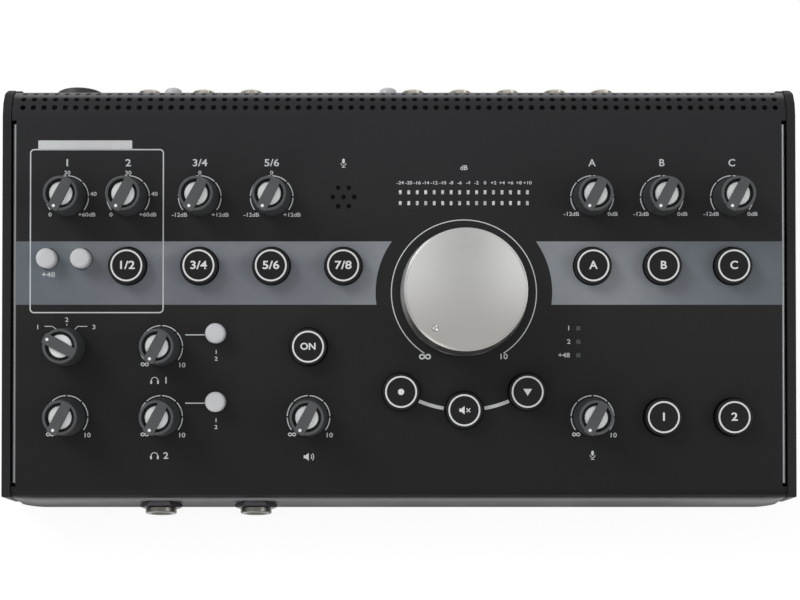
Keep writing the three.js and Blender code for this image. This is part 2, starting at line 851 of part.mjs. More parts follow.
// Combination socket: barrel through the panel, domed bezel outside, jack bore in its face
function comboSocket(x, height) {
  const face = comboReach - comboMouthDepth;
  const body = turned([
    [0, -comboBodyLength],
    [comboBarrelRadius, -comboBodyLength],
    [comboBarrelRadius, 0],
    [comboBezelRadius, 0],
    [comboBezelRadius, comboBezelBase],
    [comboBezelRim, comboReach],
    [comboMouthRadius, comboReach],
    [comboMouthRadius, face],
    [0, face],
  ], comboSides);
  const bore = rod(jackBoreRadius, face - jackBoreDepth, face + overrun, jackSides);
  return { body: body.subtract(bore), position: [x, rearPanelY, height] };
}

// Phones socket: body behind the front wall, nut and wide ferrule before it
function phonesSocket(x) {
  const inner = trayFrontY + sheetThickness;
  const [halfX, halfZ] = [phonesBodyWidth / 2, phonesBodyHeight / 2];
  const body = box(
    [x - halfX, inner, phonesHeight - halfZ],
    [x + halfX, inner + phonesBodyLength, phonesHeight + halfZ],
  );
  const place = [x, phonesHeight];
  const mouth = trayFrontY - phonesNoseReach;
  const nutFace = trayFrontY - phonesNutThickness;
  const nose = levelRod(phonesNoseRadius, mouth, inner + overrun, phonesNoseSides, place);
  const nut = levelRod(hexRadius(phonesNutFlats), nutFace, trayFrontY, hexSides, place);
  const bore = levelRod(jackBoreRadius, mouth - overrun, mouth + jackBoreDepth, jackSides, place);
  return join([body, nose, nut]).subtract(bore);
}

// Small knob: tapered body, raised rim round a recess, pointer bar across it, and its shaft
function smallKnob() {
  const top = knobLift + knobHeight;
  const floor = top - knobRecess;
  const inner = knobRimRadius - knobRimWidth;
  const body = turned([
    [0, knobLift],
    [knobBaseRadius, knobLift],
    [knobRimRadius, top],
    [inner, top],
    [inner, floor],
    [0, floor],
  ], knobSides);
  const half = knobBarWidth / 2;
  const bar = box(
    [-half, -inner - knobRimWidth / 2, floor - overrun],
    [half, knobRimRadius + knobBarNub, top + knobBarRise],
  );
  return join([body, bar, rod(shaftRadius, -shaftDepth, knobLift + overrun, shaftSides)]);
}

// Volume knob: turned metal body with a chamfered face and a finger dimple
function volumeKnob() {
  const top = volumeLift + volumeHeight;
  const body = turned([
    [0, volumeLift],
    [volumeBaseRadius, volumeLift],
    [volumeBaseRadius, volumeLift + volumeSkirt],
    [volumeTopRadius, top - volumeChamfer],
    [volumeTopRadius - volumeChamfer, top],
    [0, top],
  ], volumeSides);
  const dimple = rodGeometry(0, top - dimpleDepth, top + dimpleDepth, dimpleSides, 2 * dimpleRadius);
  const shaft = rod(shaftRadius, -shaftDepth, volumeLift + overrun, shaftSides);
  return join([body, shaft]).subtract(solid(dimple.translate(0, dimpleOffset, 0)));
}

// Push cap on its stem: a round cap with a chamfered edge, pressed down its own axis
function pushCap({ radius, rise, edge, skirt, stemDepth, sides }) {
  const cap = turned([
    [0, -skirt],
    [radius, -skirt],
    [radius, rise - edge],
    [radius - edge, rise],
    [0, rise],
  ], sides);
  const half = stemWidth / 2;
  return cap.add(box([-half, -half, -stemDepth], [half, half, -skirt + overrun]));
}

const litCapSizes = {
  radius: buttonRadius,
  rise: buttonRise,
  edge: buttonEdge,
  skirt: buttonSkirt,
  stemDepth: buttonStemDepth,
  sides: buttonSides,
};
const latchCapSizes = {
  radius: capRadius,
  rise: capRise,
  edge: capEdge,
  skirt: capSkirt,
  stemDepth: capStemDepth,
  sides: capSides,
};
const rearCapSizes = {
  radius: rearCapRadius,
  rise: rearCapReach,
  edge: rearCapEdge,
  skirt: rearCapSkirt,
  stemDepth: rearCapStemDepth,
  sides: rearCapSides,
};

// Control board: pots, switch housings, talkback capsule, lamps and spacers soldered on one board
function controlBoard() {
  const boardHalf = halfWidth - controlBoardSideGap;
  const rear = panelLength - controlBoardRearGap;
  const places = [knobs, buttons, pushCaps].flatMap((controls) => Object.values(controls));
  const front = Math.min(...places.map(([, along]) => along)) - controlBoardMargin;
  const board = box(
    [-boardHalf, front, -controlBoardDepth - boardThickness],
    [boardHalf, rear, -controlBoardDepth],
  );
  const base = -controlBoardDepth - boardThickness / 2;
  const underside = -sheetThickness - fitGap;
  const switchPlaces = [...Object.values(buttons), ...Object.values(pushCaps)];
  const potPlaces = [...Object.values(knobs), volumePlace];
  const [nearRow, farRow] = [front + spacerInset, rear - spacerInset];
  const sideX = boardHalf - spacerInset;
  const spacers = [-sideX, spacerMiddleShare * halfWidth, sideX].flatMap((x) => [[x, nearRow], [x, farRow]]);
  const body = join([
    board,
    squarePosts(potPlaces, [potWidth, potWidth], base, underside),
    squarePosts(switchPlaces, [housingWidth, housingWidth], base, -housingTopDepth),
    roundPosts(spacers, spacerRadius, spacerSides, base, underside),
    rod(microphoneRadius, base, -microphoneDepth, microphoneSides, microphonePlace),
    squarePosts(lampPlaces, [lampWidth, lampWidth], base, underside),
  ]);
  const well = stemWidth + 2 * fitGap;
  const litFloor = -buttonStemDepth - buttonTravel - fitGap;
  const capFloor = -capStemDepth - capTravel - fitGap;
  const boreRadius = clearRadius(shaftRadius, shaftSides);
  return cut(body, [
    roundPosts(potPlaces, boreRadius, shaftSides, -shaftDepth - fitGap, overrun),
    squarePosts(Object.values(buttons), [well, well], litFloor, overrun),
    squarePosts(Object.values(pushCaps), [well, well], capFloor, overrun),
  ]);
}

// Meter: block of diffusers on the board, with a light bar under each row of slots
function meterLens() {
  const halfX = (meterColumns * meterPitch) / 2 + meterBlockMargin;
  const halfY = meterRowPitch / 2 + meterBarWidth / 2 + meterBlockMargin;
  const [x, y] = [column('volume'), row('meter')];
  const block = box(
    [x - halfX, y - halfY, -controlBoardDepth + fitGap],
    [x + halfX, y + halfY, -meterBlockTopDepth],
  );
  const bars = [-1, 1].map((side) => [x, y + (side * meterRowPitch) / 2]);
  const barLength = meterColumns * meterPitch;
  const top = -sheetThickness - fitGap;
  return block.add(squarePosts(bars, [barLength, meterBarWidth], -meterBlockTopDepth - overrun, top));
}

const rockerBodyWidth = () => rockerWidth + 2 * fitGap + 2 * rockerWall;
const rockerBodyHalf = () => rockerSwingRadius() + fitGap + rockerWall;

// Greatest distance from the rocker's pivot to its outline
function rockerSwingRadius() {
  const lift = rockerValley + rockerHalfHeight * Math.tan(THREE.MathUtils.degToRad(rockerTilt));
  return Math.hypot(lift, rockerHalfHeight);
}

// Rocker: a paddle with two flats that meet in a valley, about its pivot
function rockerPaddle() {
  const end = rockerValley + rockerHalfHeight * Math.tan(THREE.MathUtils.degToRad(rockerTilt));
  return sidePrism([
    [-rockerBack, -rockerBackHalf],
    [-rockerNeck, -rockerHalfHeight],
    [end, -rockerHalfHeight],
    [rockerValley, 0],
    [end, rockerHalfHeight],
    [-rockerNeck, rockerHalfHeight],
    [-rockerBack, rockerBackHalf],
  ], -rockerWidth / 2, rockerWidth / 2);
}

// Body of the power switch: a housing on a stand, a bezel outside and a recess for the rocker
function powerSwitch() {
  const x = rockerShare * halfWidth;
  const half = rockerBodyWidth() / 2;
  const reach = rockerBodyHalf();
  const recessFront = rearPanelY - rockerPivotDepth - rockerRecess;
  const front = recessFront - 2 * rockerWall;
  const face = rearPanelY + rockerBezelReach;
  const [bezelHalf, bezelReach] = [half + rockerBezelWidth, reach + rockerBezelWidth];
  const [recessHalf, recessReach] = [rockerWidth / 2 + fitGap, reach - rockerWall];
  const body = join([
    box([x - half, front, rockerHeight - reach], [x + half, face, rockerHeight + reach]),
    box([x - half, front, jackBoardSeat], [x + half, rearInnerY - fitGap, rockerHeight]),
    box(
      [x - bezelHalf, rearPanelY, rockerHeight - bezelReach],
      [x + bezelHalf, face, rockerHeight + bezelReach],
    ),
  ]);
  return body.subtract(box(
    [x - recessHalf, recessFront, rockerHeight - recessReach],
    [x + recessHalf, face + overrun, rockerHeight + recessReach],
  ));
}

// Level switch: a riser that holds a well for the stem of its push cap
function levelSwitch(x) {
  const half = riserWidth / 2;
  const well = stemWidth / 2 + fitGap;
  const wellFront = rearPanelY - rearCapStemDepth - capTravel - fitGap;
  const face = rearPanelY - rearCapSkirt - capTravel - fitGap;
  const riser = box(
    [x - half, wellFront - riserLength, jackBoardSeat],
    [x + half, face, rearCapHeight + half],
  );
  return riser.subtract(box(
    [x - well, wellFront, rearCapHeight - well],
    [x + well, rearPanelY, rearCapHeight + well],
  ));
}

// Mini socket: a small body with a nose through the rear panel
function miniSocket(share) {
  const x = share * halfWidth;
  const place = [x, miniSocketHeight];
  const mouth = rearPanelY + miniNoseReach;
  const body = box(
    [x - miniBodyWidth / 2, rearInnerY - miniBodyLength, jackBoardSeat],
    [x + miniBodyWidth / 2, rearInnerY, miniSocketHeight + miniBodyMargin],
  );
  const nose = levelRod(miniNoseRadius, rearInnerY - overrun, mouth, miniSides, place);
  const bore = levelRod(miniBoreRadius, mouth - miniBoreDepth, mouth + overrun, miniSides, place);
  return body.add(nose).subtract(bore);
}

// Board behind the rear panel: mini sockets, level switches, power switch, capacitors and header
function jackBoard() {
  const [left, right] = [jackBoardLeftShare * halfWidth, jackBoardRightShare * halfWidth];
  const rear = rearInnerY - jackBoardRearGap;
  const front = rearPanelY - jackBoardFrontGap;
  const board = box([left, front, jackBoardTop - boardThickness], [right, rear, jackBoardTop]);
  const spacers = [left + spacerInset, (left + right) / 2, right - spacerInset].flatMap((x) => (
    [[x, front + spacerInset], [x, rear - lineBodyLength - 2 * spacerInset]]
  ));
  const capacitors = Array.from({ length: capacitorCount }, (_, index) => (
    [capacitorShare * halfWidth - index * capacitorPitch, rearPanelY - capacitorSetback]
  ));
  const header = box(
    [-headerWidth / 2, front + headerLength, jackBoardSeat],
    [headerWidth / 2, front + 2 * headerLength, jackBoardTop + headerHeight],
  );
  return join([
    board,
    roundPosts(spacers, spacerRadius, spacerSides, floorLevel, jackBoardSeat),
    roundPosts(capacitors, capacitorRadius, miniSides, jackBoardSeat, jackBoardTop + capacitorHeight),
    ...miniSocketShares.map(miniSocket),
    ...rearCapColumns.map(levelSwitch),
    powerSwitch(),
    header,
  ]);
}

// USB socket: metal shell on the board with a tongue in its mouth
function usbSocket() {
  const x = usbShare * halfWidth;
  const face = rearPanelY + usbProud;
  const middle = jackBoardTop + usbHeight / 2;
  const shell = box(
    [x - usbWidth / 2, face - usbLength, jackBoardTop],
    [x + usbWidth / 2, face, jackBoardTop + usbHeight],
  );
  const mouth = box(
    [x - usbMouthWidth / 2, face - usbMouthDepth, middle - usbMouthHeight / 2],
    [x + usbMouthWidth / 2, face + overrun, middle + usbMouthHeight / 2],
  );
  const tongue = box(
    [x - usbTongueWidth / 2, face - usbMouthDepth - overrun, middle - usbTongueHeight / 2],
    [x + usbTongueWidth / 2, face - usbTongueSetback, middle + usbTongueHeight / 2],
  );
  return shell.subtract(mouth).add(tongue);
}

// Power inlet: round nose in the panel with a pin down the middle of its bore
function powerInlet() {
  const x = inletShare * halfWidth;
  const place = [x, jackBoardTop + inletHeight / 2];
  const face = rearPanelY + inletNoseReach;
  const body = box(
    [x - inletWidth / 2, rearInnerY - inletLength, jackBoardTop],
    [x + inletWidth / 2, rearInnerY, jackBoardTop + inletHeight],
  );
  const [floor, tip] = [face - inletBoreDepth, face - inletPinSetback];
  const nose = levelRod(inletNoseRadius, rearInnerY - overrun, face, inletSides, place);
  const bore = levelRod(inletBoreRadius, floor, face + overrun, inletSides, place);
  const pin = levelRod(inletPinRadius, floor - overrun, tip, miniSides, place);
  return body.add(nose).subtract(bore).add(pin);
}

// Assembly. The chassis group centres the whole depth on Y, and the panel group leans on it.
const controller = new THREE.Group();
controller.name = 'studio_monitor_controller';
const chassis = new THREE.Group();
chassis.position.y = (frontReach - rearPanelY - rearReach) / 2;
controller.add(chassis);
const panel = new THREE.Group();
panel.position.z = frontHeight;
panel.rotation.x = THREE.MathUtils.degToRad(panelSlope);
chassis.add(panel);

addPiece(panel, 'top_cover', topCover(), finishes.coverSteel);
addPiece(panel, 'control_board', controlBoard(), finishes.board);
addPiece(panel, 'meter_lens', meterLens(), finishes.lens);
addPiece(chassis, 'base_tray', baseTray(), finishes.traySteel);
addPiece(chassis, 'rear_panel', rearPanel(), finishes.coverSteel);
addPiece(chassis, 'left_cheek', cheek(-1), finishes.cheekPlastic);
addPiece(chassis, 'right_cheek', cheek(1), finishes.cheekPlastic);
addPiece(chassis, 'jack_board', jackBoard(), finishes.board);
addPiece(chassis, 'usb_socket', usbSocket(), finishes.socketMetal);
addPiece(chassis, 'power_inlet', powerInlet(), finishes.socketPlastic);

lineSocketShares.forEach((share, index) => {
  const body = lineSocketPair(share * halfWidth);
  addPiece(chassis, `line_socket_pair_${index + 1}`, body, finishes.socketPlastic);
});
[comboUpperHeight, comboLowerHeight].forEach((height, index) => {
  const { body, position } = comboSocket(comboShare * halfWidth, height);
  const name = `combo_socket_${index + 1}`;
  addPiece(chassis, name, body, finishes.socketPlastic, position, [-Math.PI / 2, 0, 0]);
});
phonesSocketShares.forEach((share, index) => {
  const body = phonesSocket(share * halfWidth);
  addPiece(chassis, `phones_socket_${index + 1}`, body, finishes.socketPlastic);
});

// Rubber feet under the tray's corners
const footX = halfWidth - footSideInset;
const footPlaces = [
  [-footX, footEndInset],
  [footX, footEndInset],
  [-footX, rearPanelY - footEndInset],
  [footX, rearPanelY - footEndInset],
];
footPlaces.forEach(([x, y], index) => {
  const foot = solid(rodGeometry(footRadius - footTaper, 0, footHeight, buttonSides, footRadius));
  addPiece(chassis, `rubber_foot_${index + 1}`, foot, finishes.rubber, [x, y, 0]);
});

// Everything that is turned or pressed on the panel
for (const [name, [x, y]] of Object.entries(knobs)) {
  const angle = name === 'cue_source_knob' ? selectorRestAngle : knobRestAngle;
  const turn = THREE.MathUtils.degToRad(angle);
  addPiece(panel, name, smallKnob(), finishes.knobPlastic, [x, y, 0], [0, 0, turn]);
}
const volumeTurn = THREE.MathUtils.degToRad(volumeRestAngle);
addPiece(panel, 'volume_knob', volumeKnob(), finishes.volumeMetal, [...volumePlace, 0], [0, 0, volumeTurn]);
for (const [name, [x, y]] of Object.entries(buttons)) {
  addPiece(panel, name, pushCap(litCapSizes), finishes.buttonPlastic, [x, y, 0]);
}
for (const [name, [x, y]] of Object.entries(pushCaps)) {
  addPiece(panel, name, pushCap(latchCapSizes), finishes.capPlastic, [x, y, 0]);
}

// Switch caps and rocker behind
rearCapColumns.forEach((x, index) => {
  const position = [x, rearPanelY, rearCapHeight];
  const name = `rear_level_cap_${index + 1}`;
  addPiece(chassis, name, pushCap(rearCapSizes), finishes.capPlastic, position, [-Math.PI / 2, 0, 0]);
});
const rockerTurn = THREE.MathUtils.degToRad(rockerTilt);
const rockerPlace = [rockerShare * halfWidth, rearPanelY - rockerPivotDepth, rockerHeight];
addPiece(chassis, 'power_rocker', rockerPaddle(), finishes.buttonPlastic, rockerPlace, [rockerTurn, 0, 0]);

export default controller;
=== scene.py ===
"""Dressed model of a studio monitor controller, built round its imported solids.

Every mesh is drawn in millimetres in one of two frames. The panel frame has x across, v up the
sloping panel and h above it. The case frame has x across, y from front to rear and z up.
"""

from __future__ import annotations

import json
import logging
import math
from abc import ABC, abstractmethod
from collections.abc import Callable, Iterable, Mapping, Sequence
from dataclasses import dataclass, field
from enum import Enum

import bmesh
import bpy
from mathutils import Euler, Matrix, Vector
from mathutils.geometry import delaunay_2d_cdt

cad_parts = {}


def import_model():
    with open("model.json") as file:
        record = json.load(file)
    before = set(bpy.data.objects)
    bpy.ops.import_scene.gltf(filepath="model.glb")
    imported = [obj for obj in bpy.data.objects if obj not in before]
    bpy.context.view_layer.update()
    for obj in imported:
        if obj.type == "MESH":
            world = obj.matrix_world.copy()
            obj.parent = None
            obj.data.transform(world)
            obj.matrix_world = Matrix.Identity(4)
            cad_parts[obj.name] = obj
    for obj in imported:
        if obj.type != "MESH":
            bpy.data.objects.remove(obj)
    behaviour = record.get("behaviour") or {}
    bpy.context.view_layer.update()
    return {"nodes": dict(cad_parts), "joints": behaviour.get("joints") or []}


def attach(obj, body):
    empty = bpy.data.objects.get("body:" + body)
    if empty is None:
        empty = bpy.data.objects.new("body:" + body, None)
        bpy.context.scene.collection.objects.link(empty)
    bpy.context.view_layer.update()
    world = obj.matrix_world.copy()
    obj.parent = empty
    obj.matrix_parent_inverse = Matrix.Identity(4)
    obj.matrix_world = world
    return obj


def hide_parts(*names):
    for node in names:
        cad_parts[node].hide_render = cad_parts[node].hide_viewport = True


MM = 0.001
CONSOLE = "console"
INSIDE_WITH_HOLES = 2
RANDOM_FLOAT = 1
TOUCHING = 1e-5
MEETING = 0.002
FLAT_ANGLE = 1.0
ORIGIN = (0.0, 0.0)

Point = tuple[float, float]
Outline = Sequence[Point]
Colour = tuple[float, float, float]
Settings = Mapping[str, object]
Inputs = Mapping[str | int, object]

log = logging.getLogger("console")


def linear(red: int, green: int, blue: int) -> Colour:
    """Linear colour of an eight-bit colour, by the usual screen curve."""
    def channel(value: int) -> float:
        share = value / 255
        return share / 12.92 if share <= 0.04045 else ((share + 0.055) / 1.055) ** 2.4

    return channel(red), channel(green), channel(blue)


def dimmed(colour: Colour, share: float) -> Colour:
    """A colour, darker or lighter by a factor."""
    red, green, blue = colour
    return red * share, green * share, blue * share


# Shader maths


@dataclass(frozen=True)
class Signal:
    """Output of a material's node, used in expressions on values."""

    recipe: "Recipe"
    socket: bpy.types.NodeSocket

    def _math(self, operation: str, *terms: object) -> "Signal":
        """Math node of an operation on some terms."""
        inputs = dict(enumerate(terms))
        return self.recipe.signal("ShaderNodeMath", {"operation": operation}, inputs)

    def __add__(self, other: object) -> "Signal":
        """Sum of two values."""
        return self._math("ADD", self, other)

    __radd__ = __add__

    def __sub__(self, other: object) -> "Signal":
        """Difference of two values."""
        return self._math("SUBTRACT", self, other)

    def __rsub__(self, other: object) -> "Signal":
        """Difference of two values."""
        return self._math("SUBTRACT", other, self)

    def __mul__(self, other: object) -> "Signal":
        """Product of two values."""
        return self._math("MULTIPLY", self, other)

    def __pow__(self, other: object) -> "Signal":
        """Power of a value."""
        return self._math("POWER", self, other)

    def swing(self, share: float) -> "Signal":
        """Share of how far a noise is from its middle."""
        return (self - 0.5) * share

    def above(self, low: float, high: float) -> "Signal":
        """Mask that rises smoothly from 0 at low to 1 at high."""
        settings = {"interpolation_type": "SMOOTHSTEP"}
        inputs = {"Value": self, "From Min": low, "From Max": high, "To Min": 0.0, "To Max": 1.0}
        return self.recipe.signal("ShaderNodeMapRange", settings, inputs)


def added(
    tree: bpy.types.NodeTree, kind: str, settings: Settings | None, inputs: Inputs | None
) -> bpy.types.Node:
    """Adds one node to a tree.

    Args:
        tree: Tree of a material, a world or a rule.
        kind: The node's type.
        settings: Its properties, set before its inputs.
        inputs: Values, signals or outputs for its sockets, by name or place.

    Returns:
        The node.
    """
    made = tree.nodes.new(kind)
    for name, value in (settings or {}).items():
        setattr(made, name, value)
    for name, value in (inputs or {}).items():
        source = value.socket if isinstance(value, Signal) else value
        if isinstance(source, bpy.types.NodeSocket):
            tree.links.new(source, made.inputs[name])
        else:
            made.inputs[name].default_value = source
    return made


class Recipe:
    """Node tree of one material or world."""

    def __init__(self, owner: bpy.types.Material | bpy.types.World) -> None:
        """Empties the owner's tree."""
        owner.use_nodes = True
        self.tree = owner.node_tree
        self.tree.nodes.clear()

    def node(
        self, kind: str, settings: Settings | None = None, inputs: Inputs | None = None
    ) -> bpy.types.Node:
        """Adds one node to the tree."""
        return added(self.tree, kind, settings, inputs)

    def signal(
        self, kind: str, settings: Settings | None = None, inputs: Inputs | None = None,
        output: str | int = 0,
    ) -> Signal:
        """Adds one node and returns one of its outputs."""
        return Signal(self, self.node(kind, settings, inputs).outputs[output])

    def parts(self, vector: Signal) -> list[Signal]:
        """The three parts of a vector."""
        split = self.node("ShaderNodeSeparateXYZ", inputs={"Vector": vector})
        return [Signal(self, socket) for socket in split.outputs]

    def place(self, centre: Matrix | None = None) -> Signal:
        """Object coordinates, turned and moved into a piece's own frame.

        Args:
            centre: The piece's frame, or none for the row's frame.

        Returns:
            The coordinates as a vector, in metres.
        """
        here = self.signal("ShaderNodeTexCoord", output="Object")
        if centre is None:
            return here
        back = centre.inverted()
        inputs = {"Vector": here, "Location": back.translation, "Rotation": back.to_euler()}
        return self.signal("ShaderNodeMapping", {"vector_type": "POINT"}, inputs)

    def noise(self, where: Signal, size: float, detail: float = 2.0, roughness: float = 0.5) -> Signal:
        """Noise with blotches of about a size in millimetres."""
        inputs = {"Vector": where, "Scale": 1 / (size * MM), "Detail": detail, "Roughness": roughness}
        return self.signal("ShaderNodeTexNoise", inputs=inputs)

    def mix(self, share: object, first: Colour | Signal, second: Colour | Signal) -> Signal:
        """Colour between two others."""
        ends = [value if isinstance(value, Signal) else (*value, 1.0) for value in (first, second)]
        inputs = {0: share, 6: ends[0], 7: ends[1]}
        return self.signal("ShaderNodeMix", {"data_type": "RGBA"}, inputs, 2)

    def relief(self, height: Signal, depth: float) -> Signal:
        """Bumped normal of a height between 0 and 1, for a depth in millimetres."""
        return self.signal("ShaderNodeBump", inputs={"Height": height, "Distance": depth * MM})

    def end(self, shader: bpy.types.Node, kind: str = "ShaderNodeOutputMaterial") -> None:
        """Ends the tree in a shader."""
        self.tree.links.new(shader.outputs[0], self.node(kind).inputs["Surface"])

    def surface(self, inputs: Inputs) -> None:
        """Ends the tree in one plain shader with these inputs."""
        self.end(self.node("ShaderNodeBsdfPrincipled", inputs=inputs))


# Finishes


@dataclass(frozen=True)
class Finish(ABC):
    """A finish that becomes one material."""

    name: str

    @abstractmethod
    def mixed(self, recipe: Recipe) -> None:
        """Draws the finish into an empty tree."""

    def material(self) -> bpy.types.Material:
        """The material, made at first use."""
        title = f"{self.name}_look"
        made = bpy.data.materials.get(title)
        if made is None:
            made = bpy.data.materials.new(title)
            self.mixed(Recipe(made))
        return made


@dataclass(frozen=True)
class Moulded(Finish):
    """Coated or moulded surface with fine grain, faint mottling and small changes of gloss."""

    colour: Colour
    roughness: float = 0.5
    specular: float = 0.4
    grain: float = 0.35
    relief: float = 0.02
    mottle: float = 0.12
    blotch: float = 14.0
    coat: float = 0.0

    def mixed(self, recipe: Recipe) -> None:
        """Grain in two sizes over a base colour that drifts slowly."""
        where = recipe.place()
        fine = recipe.noise(where, self.grain)
        coarse = recipe.noise(where, self.grain * 4, 1.0)
        drift = recipe.noise(where, self.blotch, 3.0, 0.6).above(0.3, 0.7)
        darker, lighter = dimmed(self.colour, 1 - self.mottle), dimmed(self.colour, 1 + self.mottle)
        gloss = self.roughness + drift.swing(0.08) + fine.swing(0.06)
        recipe.surface({
            "Base Color": recipe.mix(drift * 0.7 + fine * 0.3, darker, lighter),
            "Roughness": gloss,
            "Specular IOR Level": self.specular,
            "Coat Weight": self.coat,
            "Coat Roughness": 0.2,
            "Normal": recipe.relief(fine * 0.65 + coarse * 0.35, self.relief),
        })


class Axis(Enum):
    """Axes of the row's frame."""

    ACROSS = 0
    ALONG = 1
    UP = 2


@dataclass(frozen=True)
class Tone:
    """Painted light or shade that a coat turns to along one axis, from start to end in millimetres, and how
    metallic its sheen is.
    """

    axis: Axis
    start: float
    end: float
    colour: Colour
    bare: float = 0.0
    signed: bool = False

    def mask(self, place: Sequence[Signal]) -> Signal:
        """Mask that rises from start to end, alike on the left and on the right unless signed."""
        along = place[self.axis.value]
        if self.axis is Axis.ACROSS and not self.signed:
            along = (along * along) ** 0.5
        return along.above(self.start * MM, self.end * MM)


def toned(
    recipe: Recipe, shade: Signal | Colour, tones: Sequence[Tone]
) -> tuple[Signal | Colour, Signal | float]:
    """Lays tones of painted light and shade over a shade in turn.

    Args:
        recipe: Recipe of the material.
        shade: Shade below.
        tones: Tones, the first one lowest.

    Returns:
        The shade that shows, and how metallic its painted sheen is.
    """
    place = recipe.parts(recipe.place())
    bare: Signal | float = 0.0
    for tone in tones:
        mask = tone.mask(place)
        shade = recipe.mix(mask, shade, tone.colour)
        bare = mask * tone.bare if tone.bare else bare
    return shade, bare


@dataclass(frozen=True)
class PowderCoat(Finish):
    """Powder coat on steel: orange peel, tiny bright flecks and tones of painted light and shade."""

    colour: Colour
    fleck: Colour
    roughness: float = 0.5
    specular: float = 0.25
    tones: Sequence[Tone] = ()
    peel: float = 0.9
    fleck_scale: float = 900.0
    relief: float = 0.03

    def mixed(self, recipe: Recipe) -> None:
        """Orange peel with flecks and soft handling marks."""
        where = recipe.place()
        peel = recipe.noise(where, self.peel, 3.0, 0.55)
        grit = recipe.noise(where, self.peel / 4, 1.0)
        cells = {"Vector": where, "Scale": self.fleck_scale}
        flecks = 1 - recipe.signal("ShaderNodeTexVoronoi", {"feature": "F1"}, cells)
        handled = recipe.noise(where, 42.0, 4.0, 0.6).above(0.35, 0.7)
        light = dimmed(self.colour, 1.35)
        # Tones paint light and shade over the coat, with a metallic sheen where they paint a highlight.
        shade, bare = toned(recipe, recipe.mix(handled * 0.5 + peel * 0.3, self.colour, light), self.tones)
        recipe.surface({
            "Base Color": recipe.mix(flecks.above(0.86, 0.97) * 0.35, shade, self.fleck),
            "Metallic": bare,
            "Roughness": self.roughness + handled.swing(0.1) + grit.swing(0.08),
            "Specular IOR Level": self.specular,
            "Normal": recipe.relief(peel * 0.7 + grit * 0.3, self.relief),
        })


@dataclass(frozen=True)
class TurnedMetal(Finish):
    """Satin aluminium with the fine rings that a lathe leaves round its own axis."""

    colour: Colour
    frame: Matrix
    roughness: float = 0.3
    metallic: float = 1.0
    tones: Sequence[Tone] = ()
    ring: float = 0.16
    relief: float = 0.016

    def mixed(self, recipe: Recipe) -> None:
        """Rings by distance from the axis, with soft blasting over them."""
        here = recipe.place(self.frame)
        across, along, up = recipe.parts(here)
        radius = (across * across + along * along) ** 0.5
        rings_at = recipe.signal("ShaderNodeCombineXYZ", inputs={"X": radius, "Y": up})
        rings = recipe.noise(rings_at, self.ring, 3.0, 0.6)
        blast = recipe.noise(here, 0.22, 2.0)
        cloud = recipe.noise(here, 9.0, 3.0).above(0.3, 0.7)
        shade = recipe.mix(cloud * 0.5 + rings * 0.5, dimmed(self.colour, 0.93), self.colour)
        # Tones paint sheen and shade over the rings.
        recipe.surface({
            "Base Color": toned(recipe, shade, self.tones)[0],
            "Metallic": self.metallic,
            "Roughness": self.roughness + rings.swing(0.12) + blast.swing(0.08),
            "Normal": recipe.relief(rings * 0.9 + blast * 0.1, self.relief),
        })


@dataclass(frozen=True)
class PlatedMetal(Finish):
    """Plated steel or brass with light scratches and fingermarks."""

    colour: Colour
    roughness: float = 0.25
    scratch: float = 0.006

    def mixed(self, recipe: Recipe) -> None:
        """Plating with stretched scratches and smudges."""
        where = recipe.place()
        lines = {"Vector": where, "Scale": (1.0, 1.0, 14.0)}
        stretched = recipe.signal("ShaderNodeMapping", {"vector_type": "POINT"}, lines)
        scratches = recipe.noise(stretched, 0.5, 3.0, 0.65)
        smudge = recipe.noise(where, 3.5, 3.0).above(0.4, 0.75)
        recipe.surface({
            "Base Color": recipe.mix(smudge * 0.6, self.colour, dimmed(self.colour, 0.8)),
            "Metallic": 1.0,
            "Roughness": self.roughness + smudge * 0.14 + scratches.swing(0.1),
            "Normal": recipe.relief(scratches, self.scratch),
        })


@dataclass(frozen=True)
class Ink(Finish):
    """Screen-printed ink, a little thin in places, over the coat."""

    colour: Colour
    under: Colour
    tones: Sequence[Tone] = ()
    roughness: float = 0.5

    def mixed(self, recipe: Recipe) -> None:
        """Ink with pinholes and a drift in its weight."""
        where = recipe.place()
        weight = recipe.noise(where, 5.0, 3.0, 0.6).above(0.2, 0.8)
        pinholes = recipe.noise(where, 0.25, 1.0).above(0.68, 0.8)
        # Tones paint light and shade over the ink.
        shade, _ = toned(recipe, self.colour, self.tones)
        recipe.surface({
            "Base Color": recipe.mix(pinholes * 0.25 + weight * 0.06, shade, self.under),
            "Roughness": self.roughness + weight.swing(0.1),
            "Specular IOR Level": 0.3,
            "Normal": recipe.relief(pinholes, 0.004),
        })


@dataclass(frozen=True)
class Diffuser(Finish):
    """Milky window over an unlit lamp, a little cloudy."""

    colour: Colour
    clouded: Colour
    roughness: float = 0.35

    def mixed(self, recipe: Recipe) -> None:
        """Cloudy resin."""
        where = recipe.place()
        cloud = recipe.noise(where, 1.1, 2.0).above(0.35, 0.65)
        fine = recipe.noise(where, 0.2, 1.0)
        recipe.surface({
            "Base Color": recipe.mix(cloud, self.colour, self.clouded),
            "Roughness": self.roughness + fine.swing(0.1),
            "Specular IOR Level": 0.5,
            "Normal": recipe.relief(fine, 0.005),
        })


